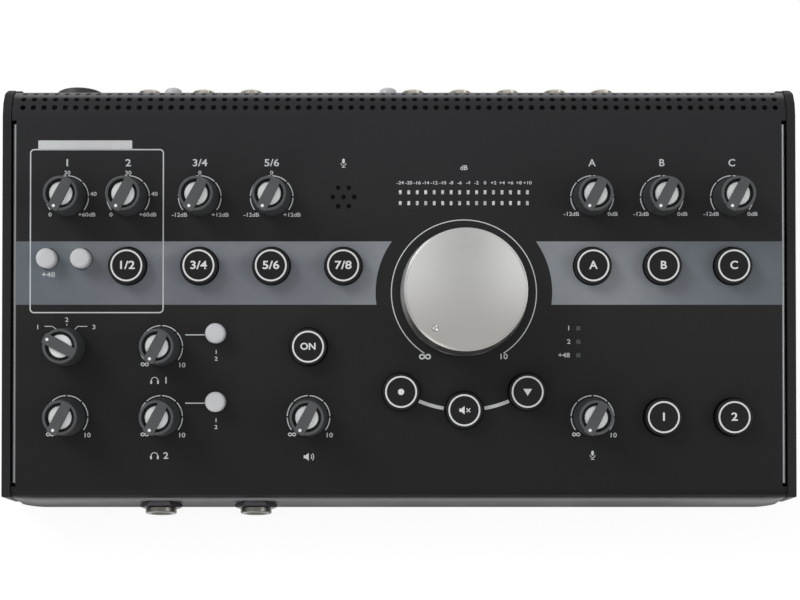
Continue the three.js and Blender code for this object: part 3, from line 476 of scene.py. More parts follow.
@dataclass(frozen=True)
class SolderMask(Finish):
    """Circuit board lacquer over copper tracks."""

    colour: Colour
    track: Colour

    def mixed(self, recipe: Recipe) -> None:
        """Tracks as a stepped pattern under glossy lacquer."""
        where = recipe.place()
        inputs = {"Vector": where, "Scale": 160.0, "Randomness": 0.35}
        settings = {"feature": "DISTANCE_TO_EDGE", "distance": "EUCLIDEAN"}
        edges = recipe.signal("ShaderNodeTexVoronoi", settings, inputs)
        tracks = 1 - edges.above(0.05, 0.09)
        weave = recipe.noise(where, 0.5, 2.0)
        recipe.surface({
            "Base Color": recipe.mix(tracks * 0.8 + weave * 0.1, self.colour, self.track),
            "Roughness": 0.32 + weave * 0.15,
            "Coat Weight": 0.3,
            "Coat Roughness": 0.15,
            "Normal": recipe.relief(tracks * 0.8 + weave * 0.2, 0.03),
        })


@dataclass(frozen=True)
class StudioFloor(Finish):
    """Pale floor that keeps the shadow and shows white to the camera and in gloss."""

    colour: Colour = (0.9, 0.9, 0.9)
    glow: float = 0.84
    white: float = 1.07

    def mixed(self, recipe: Recipe) -> None:
        """Diffuse floor mixed with plain white on rays that see it directly."""
        seen = seen_directly(recipe)
        diffuse = recipe.node("ShaderNodeBsdfDiffuse", inputs={"Color": (*self.colour, 1.0)})
        white = recipe.node("ShaderNodeEmission", inputs={"Color": (1, 1, 1, 1), "Strength": self.white})
        shaders = {0: seen * self.glow, 1: diffuse.outputs[0], 2: white.outputs[0]}
        recipe.end(recipe.node("ShaderNodeMixShader", inputs=shaders))


def seen_directly(recipe: Recipe) -> Signal:
    """Mask of the rays that come from the camera, or from it by gloss or glass."""
    path = recipe.node("ShaderNodeLightPath")
    camera, glossy, through = (
        Signal(recipe, path.outputs[f"Is {kind} Ray"]) for kind in ("Camera", "Glossy", "Transmission")
    )
    inputs = {0: camera + glossy + through, 1: 1.0}
    return recipe.signal("ShaderNodeMath", {"operation": "MINIMUM"}, inputs)


COVER_BLACK = linear(34, 34, 35)
COVER_FLECK = linear(80, 80, 83)
# Painted light and shade on the cover: darker towards the front, lighter towards the rear, a painted
# highlight along the rear bend and painted shade down the front bend.
COVER_PAINTED_LIGHT = (
    Tone(Axis.ALONG, 10.0, -93.0, linear(28, 28, 29)),
    Tone(Axis.ALONG, 20.0, 78.0, linear(40, 40, 42)),
    Tone(Axis.ALONG, 86.0, 89.0, linear(100, 100, 104)),
    Tone(Axis.UP, 34.7, 32.9, linear(12, 12, 12)),
)
# Painted highlight along the cover's side bends: lighter and partly metallic there.
SIDE_PAINTED_HIGHLIGHT = Tone(Axis.ACROSS, 174.8, 176.0, linear(150, 151, 153), 0.7)
# Painted light and shade on the tray's front wall: lighter towards both ends, painted shade towards the
# floor and a painted highlight along its top edge.
TRAY_PAINTED_LIGHT = (
    Tone(Axis.ACROSS, 115.0, 168.0, linear(104, 103, 101)),
    Tone(Axis.UP, 24.0, 5.0, linear(24, 24, 25)),
    Tone(Axis.UP, 27.2, 27.9, linear(150, 150, 152)),
)
# Painted light and shade on the printed bands: lighter in some stretches and darker towards both ends.
BAND_PAINTED_LIGHT = (
    Tone(Axis.ALONG, 10.0, 18.5, linear(134, 139, 145)),
    Tone(Axis.ACROSS, -42.0, -12.0, linear(134, 139, 144), signed=True),
    Tone(Axis.ACROSS, 100.0, 132.0, linear(110, 116, 123), signed=True),
    Tone(Axis.ACROSS, 125.0, 174.0, linear(96, 103, 110)),
)
# Painted sheen on the volume knob's top: lighter towards both edges and darker towards the front.
VOLUME_PAINTED_SHEEN = (
    Tone(Axis.ACROSS, 30.0, 56.0, linear(204, 204, 203)),
    Tone(Axis.ACROSS, 29.0, 3.0, linear(200, 200, 199)),
    Tone(Axis.ALONG, 5.0, -30.0, linear(164, 162, 158)),
)
# Painted shade on the volume knob's side, darker towards the front.
VOLUME_SIDE_PAINTED_SHADE = (Tone(Axis.ALONG, -8.0, -24.0, linear(104, 103, 100)),)

COVER_COAT = PowderCoat("cover_powder_coat", COVER_BLACK, COVER_FLECK, 0.52, 0.12, COVER_PAINTED_LIGHT)
# Cover coat with the painted highlight of the side bends.
COVER_EDGE_HIGHLIGHT = PowderCoat("cover_rubbed_edge", COVER_BLACK, COVER_FLECK, 0.42, 0.12, (*COVER_PAINTED_LIGHT, SIDE_PAINTED_HIGHLIGHT))
TRAY_COAT = PowderCoat("tray_powder_coat", linear(64, 64, 65), linear(112, 112, 115), 0.5, 0.12, TRAY_PAINTED_LIGHT)
REAR_COAT = PowderCoat("rear_powder_coat", linear(36, 36, 38), linear(92, 92, 96), 0.5, 0.3)
CHEEK_PLASTIC = Moulded("cheek_plastic", linear(26, 26, 27), 0.55, 0.2, 0.5, 0.05)
KNOB_PLASTIC = Moulded("knob_plastic", linear(79, 80, 82), 0.5, 0.25, 0.22, 0.015)
# Darker copy of the knob plastic on the skirts: painted shade on the knobs' sides.
SHADED_KNOB_SKIRT = Moulded("knob_skirt", linear(54, 55, 56), 0.6, 0.2, 0.35, 0.05)
KNOB_INLAY = Moulded("knob_inlay", linear(248, 249, 250), 0.5, 0.3, 0.2, 0.006, 0.05)
POINTER_DOT = Moulded("pointer_dot", linear(236, 237, 238), 0.4, 0.3, 0.2, 0.003, 0.02)
BUTTON_PLASTIC = Moulded("button_plastic", linear(15, 15, 16), 0.4, 0.2, 0.2, 0.01)
BUTTON_RING = Moulded("button_ring", linear(222, 223, 224), 0.4, 0.35, 0.2, 0.004, 0.03)
CAP_PLASTIC = Moulded("cap_plastic", linear(199, 200, 203), 0.36, 0.4, 0.3, 0.006, 0.03, 8.0)
SOCKET_PLASTIC = Moulded("socket_plastic", linear(26, 26, 28), 0.45, 0.45, 0.3, 0.02)
FOOT_RUBBER = Moulded("foot_rubber", linear(30, 30, 31), 0.85, 0.2, 0.4, 0.05)
NUT_BLACK = PlatedMetal("nut_black_nickel", linear(72, 72, 76), 0.32)
NICKEL = PlatedMetal("nickel_plate", linear(206, 200, 187), 0.22)
# Darker copy of the nickel for the front ferrules: painted shade for the dark surroundings they reflect.
SHADED_PHONES_NICKEL = PlatedMetal("phones_nickel", linear(100, 98, 94), 0.2)
SCREW_ZINC = PlatedMetal("screw_zinc", linear(60, 60, 64), 0.35)
LEGEND_INK = Ink("legend_ink", linear(206, 208, 210), COVER_BLACK)
BAND_INK = Ink("band_ink", linear(112, 117, 124), COVER_BLACK, BAND_PAINTED_LIGHT)
LAMP_WINDOW = Diffuser("lamp_window", linear(226, 222, 222), linear(176, 172, 174))
STATUS_WINDOW = Diffuser("status_window", linear(56, 64, 60), linear(40, 46, 43))
METER_RESIN = Diffuser("meter_resin", linear(88, 86, 86), linear(60, 58, 60))
BOARD_MASK = SolderMask("board_mask", linear(14, 18, 16), linear(22, 27, 24))


# Mesh drawing


def arc_points(centre: Point, radius: float, start: float, end: float, steps: int) -> list[Point]:
    """Points on an arc.

    Args:
        centre: Middle of the arc.
        radius: Its radius.
        start: First angle in degrees, counter-clockwise from the first axis.
        end: Last angle.
        steps: Number of stretches between the points.

    Returns:
        The points, both ends included.
    """
    angles = (math.radians(start + (end - start) * step / steps) for step in range(steps + 1))
    return [(centre[0] + radius * math.cos(a), centre[1] + radius * math.sin(a)) for a in angles]


def circle(centre: Point, radius: float, sides: int) -> list[Point]:
    """Closed circle of points."""
    return arc_points(centre, radius, 0.0, 360.0, sides)[:-1]


def rectangle(low: Point, high: Point) -> list[Point]:
    """Closed rectangle between two corners."""
    return [low, (high[0], low[1]), high, (low[0], high[1])]


def centred(middle: Point, wide: float, high: float) -> list[Point]:
    """Closed rectangle of two half sizes round its middle."""
    return rectangle((middle[0] - wide, middle[1] - high), (middle[0] + wide, middle[1] + high))


def rounded_rectangle(low: Point, high: Point, radius: float, steps: int = 6) -> list[Point]:
    """Closed rectangle with round corners."""
    corners = (
        ((high[0] - radius, low[1] + radius), -90.0),
        ((high[0] - radius, high[1] - radius), 0.0),
        ((low[0] + radius, high[1] - radius), 90.0),
        ((low[0] + radius, low[1] + radius), 180.0),
    )
    points: list[Point] = []
    for centre, start in corners:
        points += arc_points(centre, radius, start, start + 90.0, steps)
    return points


class Draft:
    """A mesh being drawn in millimetres."""

    def __init__(self) -> None:
        """Starts an empty mesh."""
        self.bm = bmesh.new()

    def faces(
        self, points: Iterable[Sequence[float]], faces: Iterable[Sequence[int]], finish: int = 0
    ) -> "Draft":
        """Adds points and the faces between them.

        Args:
            points: Places of the new corners.
            faces: Corner numbers of each face, counter-clockwise from outside.
            finish: Place of the faces' material.

        Returns:
            This draft.
        """
        verts = [self.bm.verts.new(point) for point in points]
        for face in faces:
            made = self.bm.faces.new([verts[i] for i in face])
            made.material_index = finish
        return self

    def lathe(self, profile: Outline, sides: int) -> "Draft":
        """Turns a profile of radius and height about Z, from the lowest middle to the highest."""
        rings: list[list[int]] = []
        points: list[tuple[float, float, float]] = []
        for radius, height in profile:
            count = 1 if radius == 0 else sides
            rings.append(list(range(len(points), len(points) + count)))
            for step in range(count):
                angle = 2 * math.pi * step / sides
                points.append((radius * math.cos(angle), radius * math.sin(angle), height))
        faces: list[list[int]] = []
        for lower, upper in zip(rings, rings[1:]):
            for step in range(sides):
                after = (step + 1) % sides
                corners = ((lower, step), (lower, after), (upper, after), (upper, step))
                faces.append(list(dict.fromkeys(ring[i % len(ring)] for ring, i in corners)))
        return self.faces(points, [face for face in faces if len(face) > 2])

    def plate(self, outline: Outline, holes: Sequence[Outline] = (), level: float = 0.0) -> "Draft":
        """Flat filled outline with holes, facing +Z."""
        corners: list[Vector] = []
        loops: list[list[int]] = []
        for loop in (outline, *holes):
            loops.append(list(range(len(corners), len(corners) + len(loop))))
            corners += [Vector(point) for point in loop]
        points, _, triangles, *_ = delaunay_2d_cdt(corners, [], loops, INSIDE_WITH_HOLES, TOUCHING)
        return self.faces([(x, y, level) for x, y in points], triangles)

    def prism(
        self, outline: Outline, low: float, high: float, holes: Sequence[Outline] = ()
    ) -> "Draft":
        """Prism of an outline drawn counter-clockwise, with holes drawn the same way."""
        if holes:
            lower = Draft().plate(outline, holes, low)
            bmesh.ops.reverse_faces(lower.bm, faces=lower.bm.faces)
            self.add(lower).plate(outline, holes, high)
        else:
            count = len(outline)
            points = [(x, y, level) for level in (low, high) for x, y in outline]
            self.faces(points, [range(count)[::-1], range(count, 2 * count)])
        for loop, outward in [(outline, True), *((hole, False) for hole in holes)]:
            count = len(loop)
            points = [(x, y, level) for level in (low, high) for x, y in loop]
            walls = []
            for i in range(count):
                j = (i + 1) % count
                wall = [i, j, j + count, i + count]
                walls.append(wall if outward else wall[::-1])
            self.faces(points, walls)
        return self

    def box(self, low: Sequence[float], high: Sequence[float]) -> "Draft":
        """Box between two corners."""
        return self.prism(rectangle(low[:2], high[:2]), low[2], high[2])

    def grid(self, columns: Sequence[float], rows: Sequence[float]) -> "Draft":
        """Flat grid on given lines, facing +Z."""
        wide = len(columns)
        points = [(x, y, 0.0) for y in rows for x in columns]
        faces = []
        for row in range(len(rows) - 1):
            for column in range(wide - 1):
                corner = row * wide + column
                faces.append((corner, corner + 1, corner + wide + 1, corner + wide))
        return self.faces(points, faces)

    def add(
        self, other: "Draft | bpy.types.Mesh", matrix: Matrix | None = None, finish: int | None = None
    ) -> "Draft":
        """Adds a copy of another draft or mesh.

        Args:
            other: What is copied in.
            matrix: Where it goes, in this draft's frame.
            finish: Place of its material, or none to keep its own.

        Returns:
            This draft.
        """
        mesh = other.mesh("part") if isinstance(other, Draft) else other
        before = set(self.bm.faces)
        known = len(self.bm.verts)
        self.bm.from_mesh(mesh)
        self.bm.verts.ensure_lookup_table()
        fresh = [face for face in self.bm.faces if face not in before]
        if matrix is not None:
            bmesh.ops.transform(self.bm, matrix=matrix, verts=self.bm.verts[known:])
            if matrix.is_negative:
                bmesh.ops.reverse_faces(self.bm, faces=fresh)
        if finish is not None:
            for face in fresh:
                face.material_index = finish
        if isinstance(other, Draft):
            bpy.data.meshes.remove(mesh)
        return self

    def bend(self, place: Callable[[Vector], Sequence[float]]) -> "Draft":
        """Moves every corner to where a rule puts it."""
        for vert in self.bm.verts:
            vert.co = place(vert.co)
        return self

    def weld(self) -> "Draft":
        """Joins corners that meet."""
        bmesh.ops.remove_doubles(self.bm, verts=self.bm.verts, dist=MEETING)
        return self

    def mesh(self, name: str) -> bpy.types.Mesh:
        """The draft as a mesh, welded."""
        self.weld()
        made = bpy.data.meshes.new(name)
        self.bm.to_mesh(made)
        return made


def linked(data: bpy.types.ID) -> bpy.types.Object:
    """Object of a mesh, text, light or camera in the scene."""
    made = bpy.data.objects.new(data.name, data)
    bpy.context.scene.collection.objects.link(made)
    return made


def at(spot: Point) -> Matrix:
    """Move to a place in the drawing plane."""
    return Matrix.Translation((*spot, 0.0))


def raised(height: float) -> Matrix:
    """Move along Z."""
    return Matrix.Translation((0.0, 0.0, height))


def modify(made: bpy.types.Object, kind: str, settings: Settings) -> bpy.types.Modifier:
    """Adds a modifier with its settings."""
    modifier = made.modifiers.new(kind.lower(), kind)
    for name, value in settings.items():
        setattr(modifier, name, value)
    return modifier


def evaluated(made: bpy.types.Object) -> bpy.types.Mesh:
    """Plain mesh of an object with its modifiers applied."""
    graph = bpy.context.evaluated_depsgraph_get()
    graph.update()
    return bpy.data.meshes.new_from_object(
        made.evaluated_get(graph), preserve_all_data_layers=True, depsgraph=graph
    )


@dataclass(frozen=True)
class Polish:
    """How a drawn mesh is finished: wall, rounded edges and smooth shading."""

    wall: float = 0.0
    edge: float = 0.0
    segments: int = 2
    crease: float = 32.0

    def applied(self, mesh: bpy.types.Mesh) -> bpy.types.Mesh:
        """The finished mesh.

        Args:
            mesh: The drawn mesh. It is used up.

        Returns:
            The new mesh.
        """
        made = linked(mesh)
        crease = math.radians(self.crease)
        if self.wall:
            wall = {"thickness": self.wall, "offset": -1.0, "use_even_offset": True}
            modify(made, "SOLIDIFY", wall)
        if self.edge:
            edge = {"width": self.edge, "segments": self.segments, "limit_method": "ANGLE"}
            modify(made, "BEVEL", {**edge, "angle_limit": crease, "use_clamp_overlap": True})
        shaped = evaluated(made)
        shaped.polygons.foreach_set("use_smooth", [True] * len(shaped.polygons))
        shaped.set_sharp_from_angle(angle=crease)
        made.modifiers.clear()
        made.data = shaped
        modify(made, "WEIGHTED_NORMAL", {"keep_sharp": True})
        finished = evaluated(made)
        finished.name = mesh.name
        bpy.data.objects.remove(made)
        return finished


class Cut(Enum):
    """What one solid does to another."""

    AWAY = "DIFFERENCE"
    JOINED = "UNION"
    SHARED = "INTERSECT"


def carved(body: Draft, tool: Draft, cut: Cut) -> Draft:
    """One draft cut by, joined to or limited by another.

    Args:
        body: The solid that is changed.
        tool: The solid that changes it.
        cut: What the tool does.

    Returns:
        The new draft.
    """
    made, knife = linked(body.mesh("carved")), linked(tool.mesh("tool"))
    modify(made, "BOOLEAN", {"operation": cut.value, "solver": "EXACT", "object": knife})
    result = Draft().add(evaluated(made))
    for used in (made, knife):
        bpy.data.objects.remove(used)
    return result


# Repeats by rule


class Socket(Enum):
    """Kinds of input that a rule takes."""

    GEOMETRY = "NodeSocketGeometry"
    INTEGER = "NodeSocketInt"
    FLOAT = "NodeSocketFloat"
    OBJECT = "NodeSocketObject"
    MATERIAL = "NodeSocketMaterial"


class Rule:
    """Geometry tree that repeats a piece and gives the whole one finish."""

    def __init__(self, name: str, inputs: Mapping[str, Socket]) -> None:
        """Starts a tree.

        Args:
            name: The tree's name.
            inputs: Its inputs besides the piece and the finish.
        """
        self.group = bpy.data.node_groups.new(name, "GeometryNodeTree")
        self.identifiers: dict[str, str] = {}
        named = {"Piece": Socket.GEOMETRY, "Finish": Socket.MATERIAL, **inputs}
        for title, kind in named.items():
            made = self.group.interface.new_socket(title, in_out="INPUT", socket_type=kind.value)
            self.identifiers[title] = made.identifier
        self.group.interface.new_socket("Result", in_out="OUTPUT", socket_type=Socket.GEOMETRY.value)
        self.start = self.group.nodes.new("NodeGroupInput")

    def value(self, title: str) -> bpy.types.NodeSocket:
        """Output that carries one input of the rule."""
        return self.start.outputs[title]

    def node(
        self, kind: str, settings: Settings | None = None, inputs: Inputs | None = None,
        output: str | int = 0,
    ) -> bpy.types.NodeSocket:
        """Adds one node and returns one of its outputs."""
        return added(self.group, kind, settings, inputs).outputs[output]

    def math(self, operation: str, first: object, second: object) -> bpy.types.NodeSocket:
        """Sum, product or other operation on two values."""
        return self.node("ShaderNodeMath", {"operation": operation}, {0: first, 1: second})

    def end(
        self, points: bpy.types.NodeSocket, angle: bpy.types.NodeSocket | None = None
    ) -> "Rule":
        """Sets the piece on points, turned about Z by an angle, and gives the copies the finish."""
        placed = {"Points": points, "Instance": self.value("Piece")}
        if angle is not None:
            placed["Rotation"] = self.node("ShaderNodeCombineXYZ", inputs={"Z": angle})
        copies = self.node("GeometryNodeInstanceOnPoints", inputs=placed)
        real = self.node("GeometryNodeRealizeInstances", inputs={"Geometry": copies})
        inputs = {"Geometry": real, "Material": self.value("Finish")}
        dressed = self.node("GeometryNodeSetMaterial", inputs=inputs)
        output = self.group.nodes.new("NodeGroupOutput")
        self.group.links.new(dressed, output.inputs["Result"])
        return self

    def grown(self, piece: Draft, finish: Finish, values: Mapping[str, object]) -> Draft:
        """Applies the rule to a piece.

        Args:
            piece: What is repeated.
            finish: The finish of the whole.
            values: The rule's other inputs, by title.

        Returns:
            The draft of all the copies.
        """
        made = linked(piece.mesh(self.group.name))
        modifier = modify(made, "NODES", {"node_group": self.group})
        for title, value in {"Finish": finish.material(), **values}.items():
            modifier[self.identifiers[title]] = value
        result = Draft().add(evaluated(made), finish=0)
        made.modifiers.remove(modifier)
        bpy.data.objects.remove(made)
        return result


def grid_rule() -> Rule:
    """Copies on a grid centred on the origin."""
    counts = dict.fromkeys(("Columns", "Rows"), Socket.INTEGER)
    rule = Rule("grid", {**counts, **dict.fromkeys(("Across", "Along"), Socket.FLOAT)})
    columns, rows = rule.value("Columns"), rule.value("Rows")
    wide = rule.math("MULTIPLY", rule.math("SUBTRACT", columns, 1.0), rule.value("Across"))
    long = rule.math("MULTIPLY", rule.math("SUBTRACT", rows, 1.0), rule.value("Along"))
    sizes = {"Size X": wide, "Size Y": long, "Vertices X": columns, "Vertices Y": rows}
    return rule.end(rule.node("GeometryNodeMeshGrid", inputs=sizes))


def ring_rule() -> Rule:
    """Copies turned about the origin by even steps, in degrees."""
    rule = Rule("ring", {"Count": Socket.INTEGER, "Start": Socket.FLOAT, "Step": Socket.FLOAT})
    index = rule.node("GeometryNodeInputIndex")
    turned = rule.math("ADD", rule.math("MULTIPLY", index, rule.value("Step")), rule.value("Start"))
    angle = rule.math("RADIANS", turned, 0.0)
    points = rule.node("GeometryNodePoints", inputs={"Count": rule.value("Count")})
    return rule.end(points, angle)


def scatter_rule() -> Rule:
    """Copies on another object's corners, each turned about Z by its own share of an angle."""
    rule = Rule("scatter", {"Spots": Socket.OBJECT, "Turn": Socket.FLOAT, "Seed": Socket.INTEGER})
    holder = {"Object": rule.value("Spots")}
    spots = rule.node("GeometryNodeObjectInfo", {"transform_space": "ORIGINAL"}, holder, "Geometry")
    seed = {"Seed": rule.value("Seed")}
    share = rule.node("FunctionNodeRandomValue", {"data_type": "FLOAT"}, seed, RANDOM_FLOAT)
    return rule.end(spots, rule.math("MULTIPLY", share, rule.value("Turn")))


@dataclass
class Rules:
    """The three rules, made once."""

    grid: Rule = field(default_factory=grid_rule)
    ring: Rule = field(default_factory=ring_rule)
    scatter: Rule = field(default_factory=scatter_rule)

    def scattered(
        self, piece: Draft, finish: Finish, spots: Sequence[Point], turn: float = 0.0, seed: int = 0
    ) -> Draft:
        """Copies of a piece on given spots of the drawing plane.

        Args:
            piece: What is repeated.
            finish: The finish of the copies.
            spots: Where they stand.
            turn: Greatest turn of a copy, in degrees.
            seed: Seed of the turns.

        Returns:
            The draft of all the copies.
        """
        points = Draft().faces([(x, y, 0.0) for x, y in spots], [])
        marks = bpy.data.meshes.new("spots")
        points.bm.to_mesh(marks)
        holder = linked(marks)
        values = {"Spots": holder, "Turn": math.radians(turn), "Seed": seed}
        result = self.scatter.grown(piece, finish, values)
        bpy.data.objects.remove(holder)
        return result


# Lettering and signs


DIGIT_STRETCH = 1.2
LETTER_STRETCH = 1.05
CAPITAL_SHARE = 0.72
SHARPEST = 0.3


def lettering(text: str, height: float, weight: float = 0.0, thickness: float = 0.03) -> Draft:
    """Flat, rather wide letters centred on the origin.

    Args:
        text: What is written.
        height: Height of a capital, in millimetres.
        weight: How far each outline is widened.
        thickness: Thickness of the ink.

    Returns:
        The draft of the letters, standing on the plane.
    """
    curve = bpy.data.curves.new("letters", "FONT")
    curve.body = text
    curve.size = height / CAPITAL_SHARE
    curve.align_x = "CENTER"
    curve.align_y = "CENTER"
    curve.extrude = thickness / 2
    curve.offset = weight
    curve.resolution_u = 4
    made = linked(curve)
    wide = DIGIT_STRETCH if any(mark.isdigit() for mark in text) else LETTER_STRETCH
    place = raised(thickness / 2) @ Matrix.Diagonal((wide, 1.0, 1.0, 1.0))
    drawn = Draft().add(evaluated(made), place, 0)
    bpy.data.objects.remove(made)
    return drawn


def stroke(path: Outline, width: float, thickness: float = 0.03) -> Draft:
    """Flat line of even width along an open or closed path.

    Args:
        path: Middle of the line. It is closed where its last point is its first.
        width: Width of the line.
        thickness: Thickness of the ink.

    Returns:
        The draft of the line.
    """
    closed = path[0] == path[-1]
    middle = [Vector(point) for point in (path[:-1] if closed else path)]
    count = len(middle)
    left, right = [], []
    for i, point in enumerate(middle):
        before = middle[i - 1] if closed or i else point
        after = middle[(i + 1) % count] if closed or i < count - 1 else point
        first, second = (point - before).normalized(), (after - point).normalized()
        along = (first + second).normalized()
        across = Vector((-along.y, along.x))
        reach = width / 2
        if second.length:
            reach /= max(across.dot(Vector((-second.y, second.x))), SHARPEST)
        left.append(tuple(point + across * reach))
        right.append(tuple(point - across * reach))
    if closed:
        inner, outer = sorted((ordered(left), ordered(right)), key=signed)
        return Draft().prism(outer, 0.0, thickness, [inner])
    return Draft().prism(ordered(left + right[::-1]), 0.0, thickness)


def signed(loop: Outline) -> float:
    """Area of a loop, positive where it runs counter-clockwise."""
    pairs = zip(loop, [*loop[1:], loop[0]])
    return sum(a[0] * b[1] - b[0] * a[1] for a, b in pairs) / 2


def ordered(loop: Outline) -> Outline:
    """The loop, run counter-clockwise."""
    return loop if signed(loop) > 0 else loop[::-1]


def sector(inner: float, outer: float, start: float, end: float, steps: int) -> list[Point]:
    """Outline of a stretch of ring."""
    far = arc_points(ORIGIN, outer, start, end, steps)
    near = arc_points(ORIGIN, inner, end, start, steps)
    return far + near


class Sign(Enum):
    """Plain signs printed in place of words."""

    PHONES = "phones"
    MICROPHONE = "microphone"
    SPEAKER = "speaker"
    SILENT = "silent"
    LOWER = "lower"
    SINGLE = "single"

    def drawn(self, thickness: float = 0.03) -> Draft:
        """The sign, about four millimetres high."""
        draft = Draft()

        def flat(outline: Outline) -> None:
            draft.prism(ordered(outline), 0.0, thickness)

        if self is Sign.PHONES:
            flat(sector(1.35, 1.7, 0.0, 180.0, 14))
            for side in (-1, 1):
                flat(rounded_rectangle((side * 1.55 - 0.42, -1.5), (side * 1.55 + 0.42, 0.1), 0.3, 3))
        elif self is Sign.MICROPHONE:
            flat(rounded_rectangle((-0.6, -0.2), (0.6, 2.0), 0.59, 6))
            flat(sector(1.0, 1.3, 180.0, 360.0, 12))
            flat(rectangle((-0.16, -1.9), (0.16, -1.0)))
            flat(rectangle((-0.8, -2.1), (0.8, -1.8)))
        elif self is Sign.LOWER:
            flat([(-1.9, 1.3), (0.0, -1.7), (1.9, 1.3)])
        elif self is Sign.SINGLE:
            flat(circle(ORIGIN, 1.35, 24))
        else:
            flat([(-2.2, -0.7), (-1.3, -0.7), (0.1, -1.8), (0.1, 1.8), (-1.3, 0.7), (-2.2, 0.7)])
            if self is Sign.SILENT:
                for slant in (-1, 1):
                    ends = [(0.9, -0.8 * slant), (2.5, 0.8 * slant)]
                    draft.add(stroke(ends, 0.4, thickness))
            else:
                for radius in (1.2, 2.1):
                    flat([(x + 0.1, y) for x, y in sector(radius, radius + 0.35, -42.0, 42.0, 8)])
        return draft


# Places


FRONT_HEIGHT = 34.0
PANEL_END = 173.6
SLOPE = math.radians(10.7)
FRONT_FACE = -1.25
REAR_FACE = 184.14
SHEET = 1.2
PANEL_HALF = 175.2
SHEET_HALF = 177.3
BUTTON_HOLE = 8.95
CAP_HOLE = 4.95
SHAFT_HOLE = 3.3
SHAFT = 3.0
SHAFT_END = -9.0
STEM_HALF = 1.7


class Column(float, Enum):
    """Places of the controls across the panel."""

    PHANTOM = -160.591
    EDGE = -151.916
    PAN = -145.091
    FIRST = -124.001
    PHONES = -108.7
    SECOND = -91.204
    PHONES_CAP = -83.599
    THIRD = -58.298
    STUDIO = -41.328
    FOURTH = -25.41
    VOLUME = 29.693
    STATUS = 82.002
    OUTPUT_A = 88.409
    OUTPUT_B = 120.298
    OUTPUT_C = 152.406


class Row(float, Enum):
    """Places of the controls up the panel."""

    TOP = 136.658
    METER = 136.363
    CAPS = 108.292
    SELECT = 104.993
    VOLUME = 92.945
    UPPER_CAP = 74.127
    STATUS = 70.343
    UPPER = 68.016
    LOWER_CAP = 42.897
    LOWER = 36.005


VOLUME_SPOT = (float(Column.VOLUME), float(Row.VOLUME))
TRIO_RADIUS = 53.8
TRIO_ANGLE = 32.3


def trio_spot(turn: float) -> Point:
    """Place of a button on the circle round the volume knob, by its turn from straight below."""
    angle = math.radians(turn)
    across, along = VOLUME_SPOT
    return across + TRIO_RADIUS * math.sin(angle), along - TRIO_RADIUS * math.cos(angle)


@dataclass(frozen=True)
class Knob:
    """A small knob: its body, its place and its pointer's turn from straight up."""

    body: str
    spot: Point
    turn: float = 152.5


@dataclass(frozen=True)
class Button:
    """A lit button: its body, its place and what stands on it."""

    body: str
    spot: Point
    legend: str | Sign
    height: float = 3.7


KNOBS = (
    Knob("gain_knob_1", (Column.EDGE, Row.TOP)),
    Knob("gain_knob_2", (Column.FIRST, Row.TOP)),
    Knob("source_trim_knob_1", (Column.SECOND, Row.TOP)),
    Knob("source_trim_knob_2", (Column.THIRD, Row.TOP)),
    Knob("monitor_trim_knob_a", (Column.OUTPUT_A, Row.TOP)),
    Knob("monitor_trim_knob_b", (Column.OUTPUT_B, Row.TOP)),
    Knob("monitor_trim_knob_c", (Column.OUTPUT_C, Row.TOP)),
    Knob("cue_source_knob", (Column.EDGE, Row.UPPER), 62.0),
    Knob("direct_monitor_knob", (Column.EDGE, Row.LOWER)),
    Knob("phones_knob_1", (Column.PHONES, Row.UPPER)),
    Knob("phones_knob_2", (Column.PHONES, Row.LOWER)),
    Knob("studio_level_knob", (Column.STUDIO, Row.LOWER)),
    Knob("talkback_level_knob", (Column.OUTPUT_A, Row.LOWER)),
)

BUTTONS = (
    Button("source_button_1_2", (Column.FIRST, Row.SELECT), "1/2"),
    Button("source_button_3_4", (Column.SECOND, Row.SELECT), "3/4"),
    Button("source_button_5_6", (Column.THIRD, Row.SELECT), "5/6"),
    Button("source_button_usb", (Column.FOURTH, Row.SELECT), "7/8"),
    Button("monitor_button_a", (Column.OUTPUT_A, Row.SELECT), "A"),
    Button("monitor_button_b", (Column.OUTPUT_B, Row.SELECT), "B"),
    Button("monitor_button_c", (Column.OUTPUT_C, Row.SELECT), "C"),
    Button("studio_on_button", (Column.STUDIO, Row.UPPER), "ON", 3.1),
    Button("mono_button", trio_spot(-TRIO_ANGLE), Sign.SINGLE),
    Button("mute_button", trio_spot(0.0), Sign.SILENT),
    Button("dim_button", trio_spot(TRIO_ANGLE), Sign.LOWER),
    Button("talk_two_track_button", (Column.OUTPUT_B, Row.LOWER), "1"),
    Button("talk_cue_button", (Column.OUTPUT_C, Row.LOWER), "2"),
)

CAPS = {
    "phantom_power_cap": (Column.PHANTOM, Row.CAPS),
    "stereo_pan_cap": (Column.PAN, Row.CAPS),
    "phones_source_cap_1": (Column.PHONES_CAP, Row.UPPER_CAP),
    "phones_source_cap_2": (Column.PHONES_CAP, Row.LOWER_CAP),
}

GRILLE_PITCH = 4.9
GRILLE = (ORIGIN, *arc_points(ORIGIN, GRILLE_PITCH, 0.0, 300.0, 5))
METER_COLUMNS = 16
METER_PITCH = 3.88
METER_ROW_PITCH = 5.0
METER_ACROSS = tuple(
    Column.VOLUME + (column - (METER_COLUMNS - 1) / 2) * METER_PITCH for column in range(METER_COLUMNS)
)
METER_SPOTS = tuple((x, Row.METER + side * METER_ROW_PITCH / 2) for side in (-1, 1) for x in METER_ACROSS)
LAMP_PITCH = 6.2
LAMP_SPOTS = tuple((float(Column.STATUS), Row.STATUS + step * LAMP_PITCH) for step in (-1, 0, 1))


def mirrored(spots: Iterable[Point]) -> list[Point]:
    """The spots as they are seen from behind."""
    return [(-x, y) for x, y in spots]


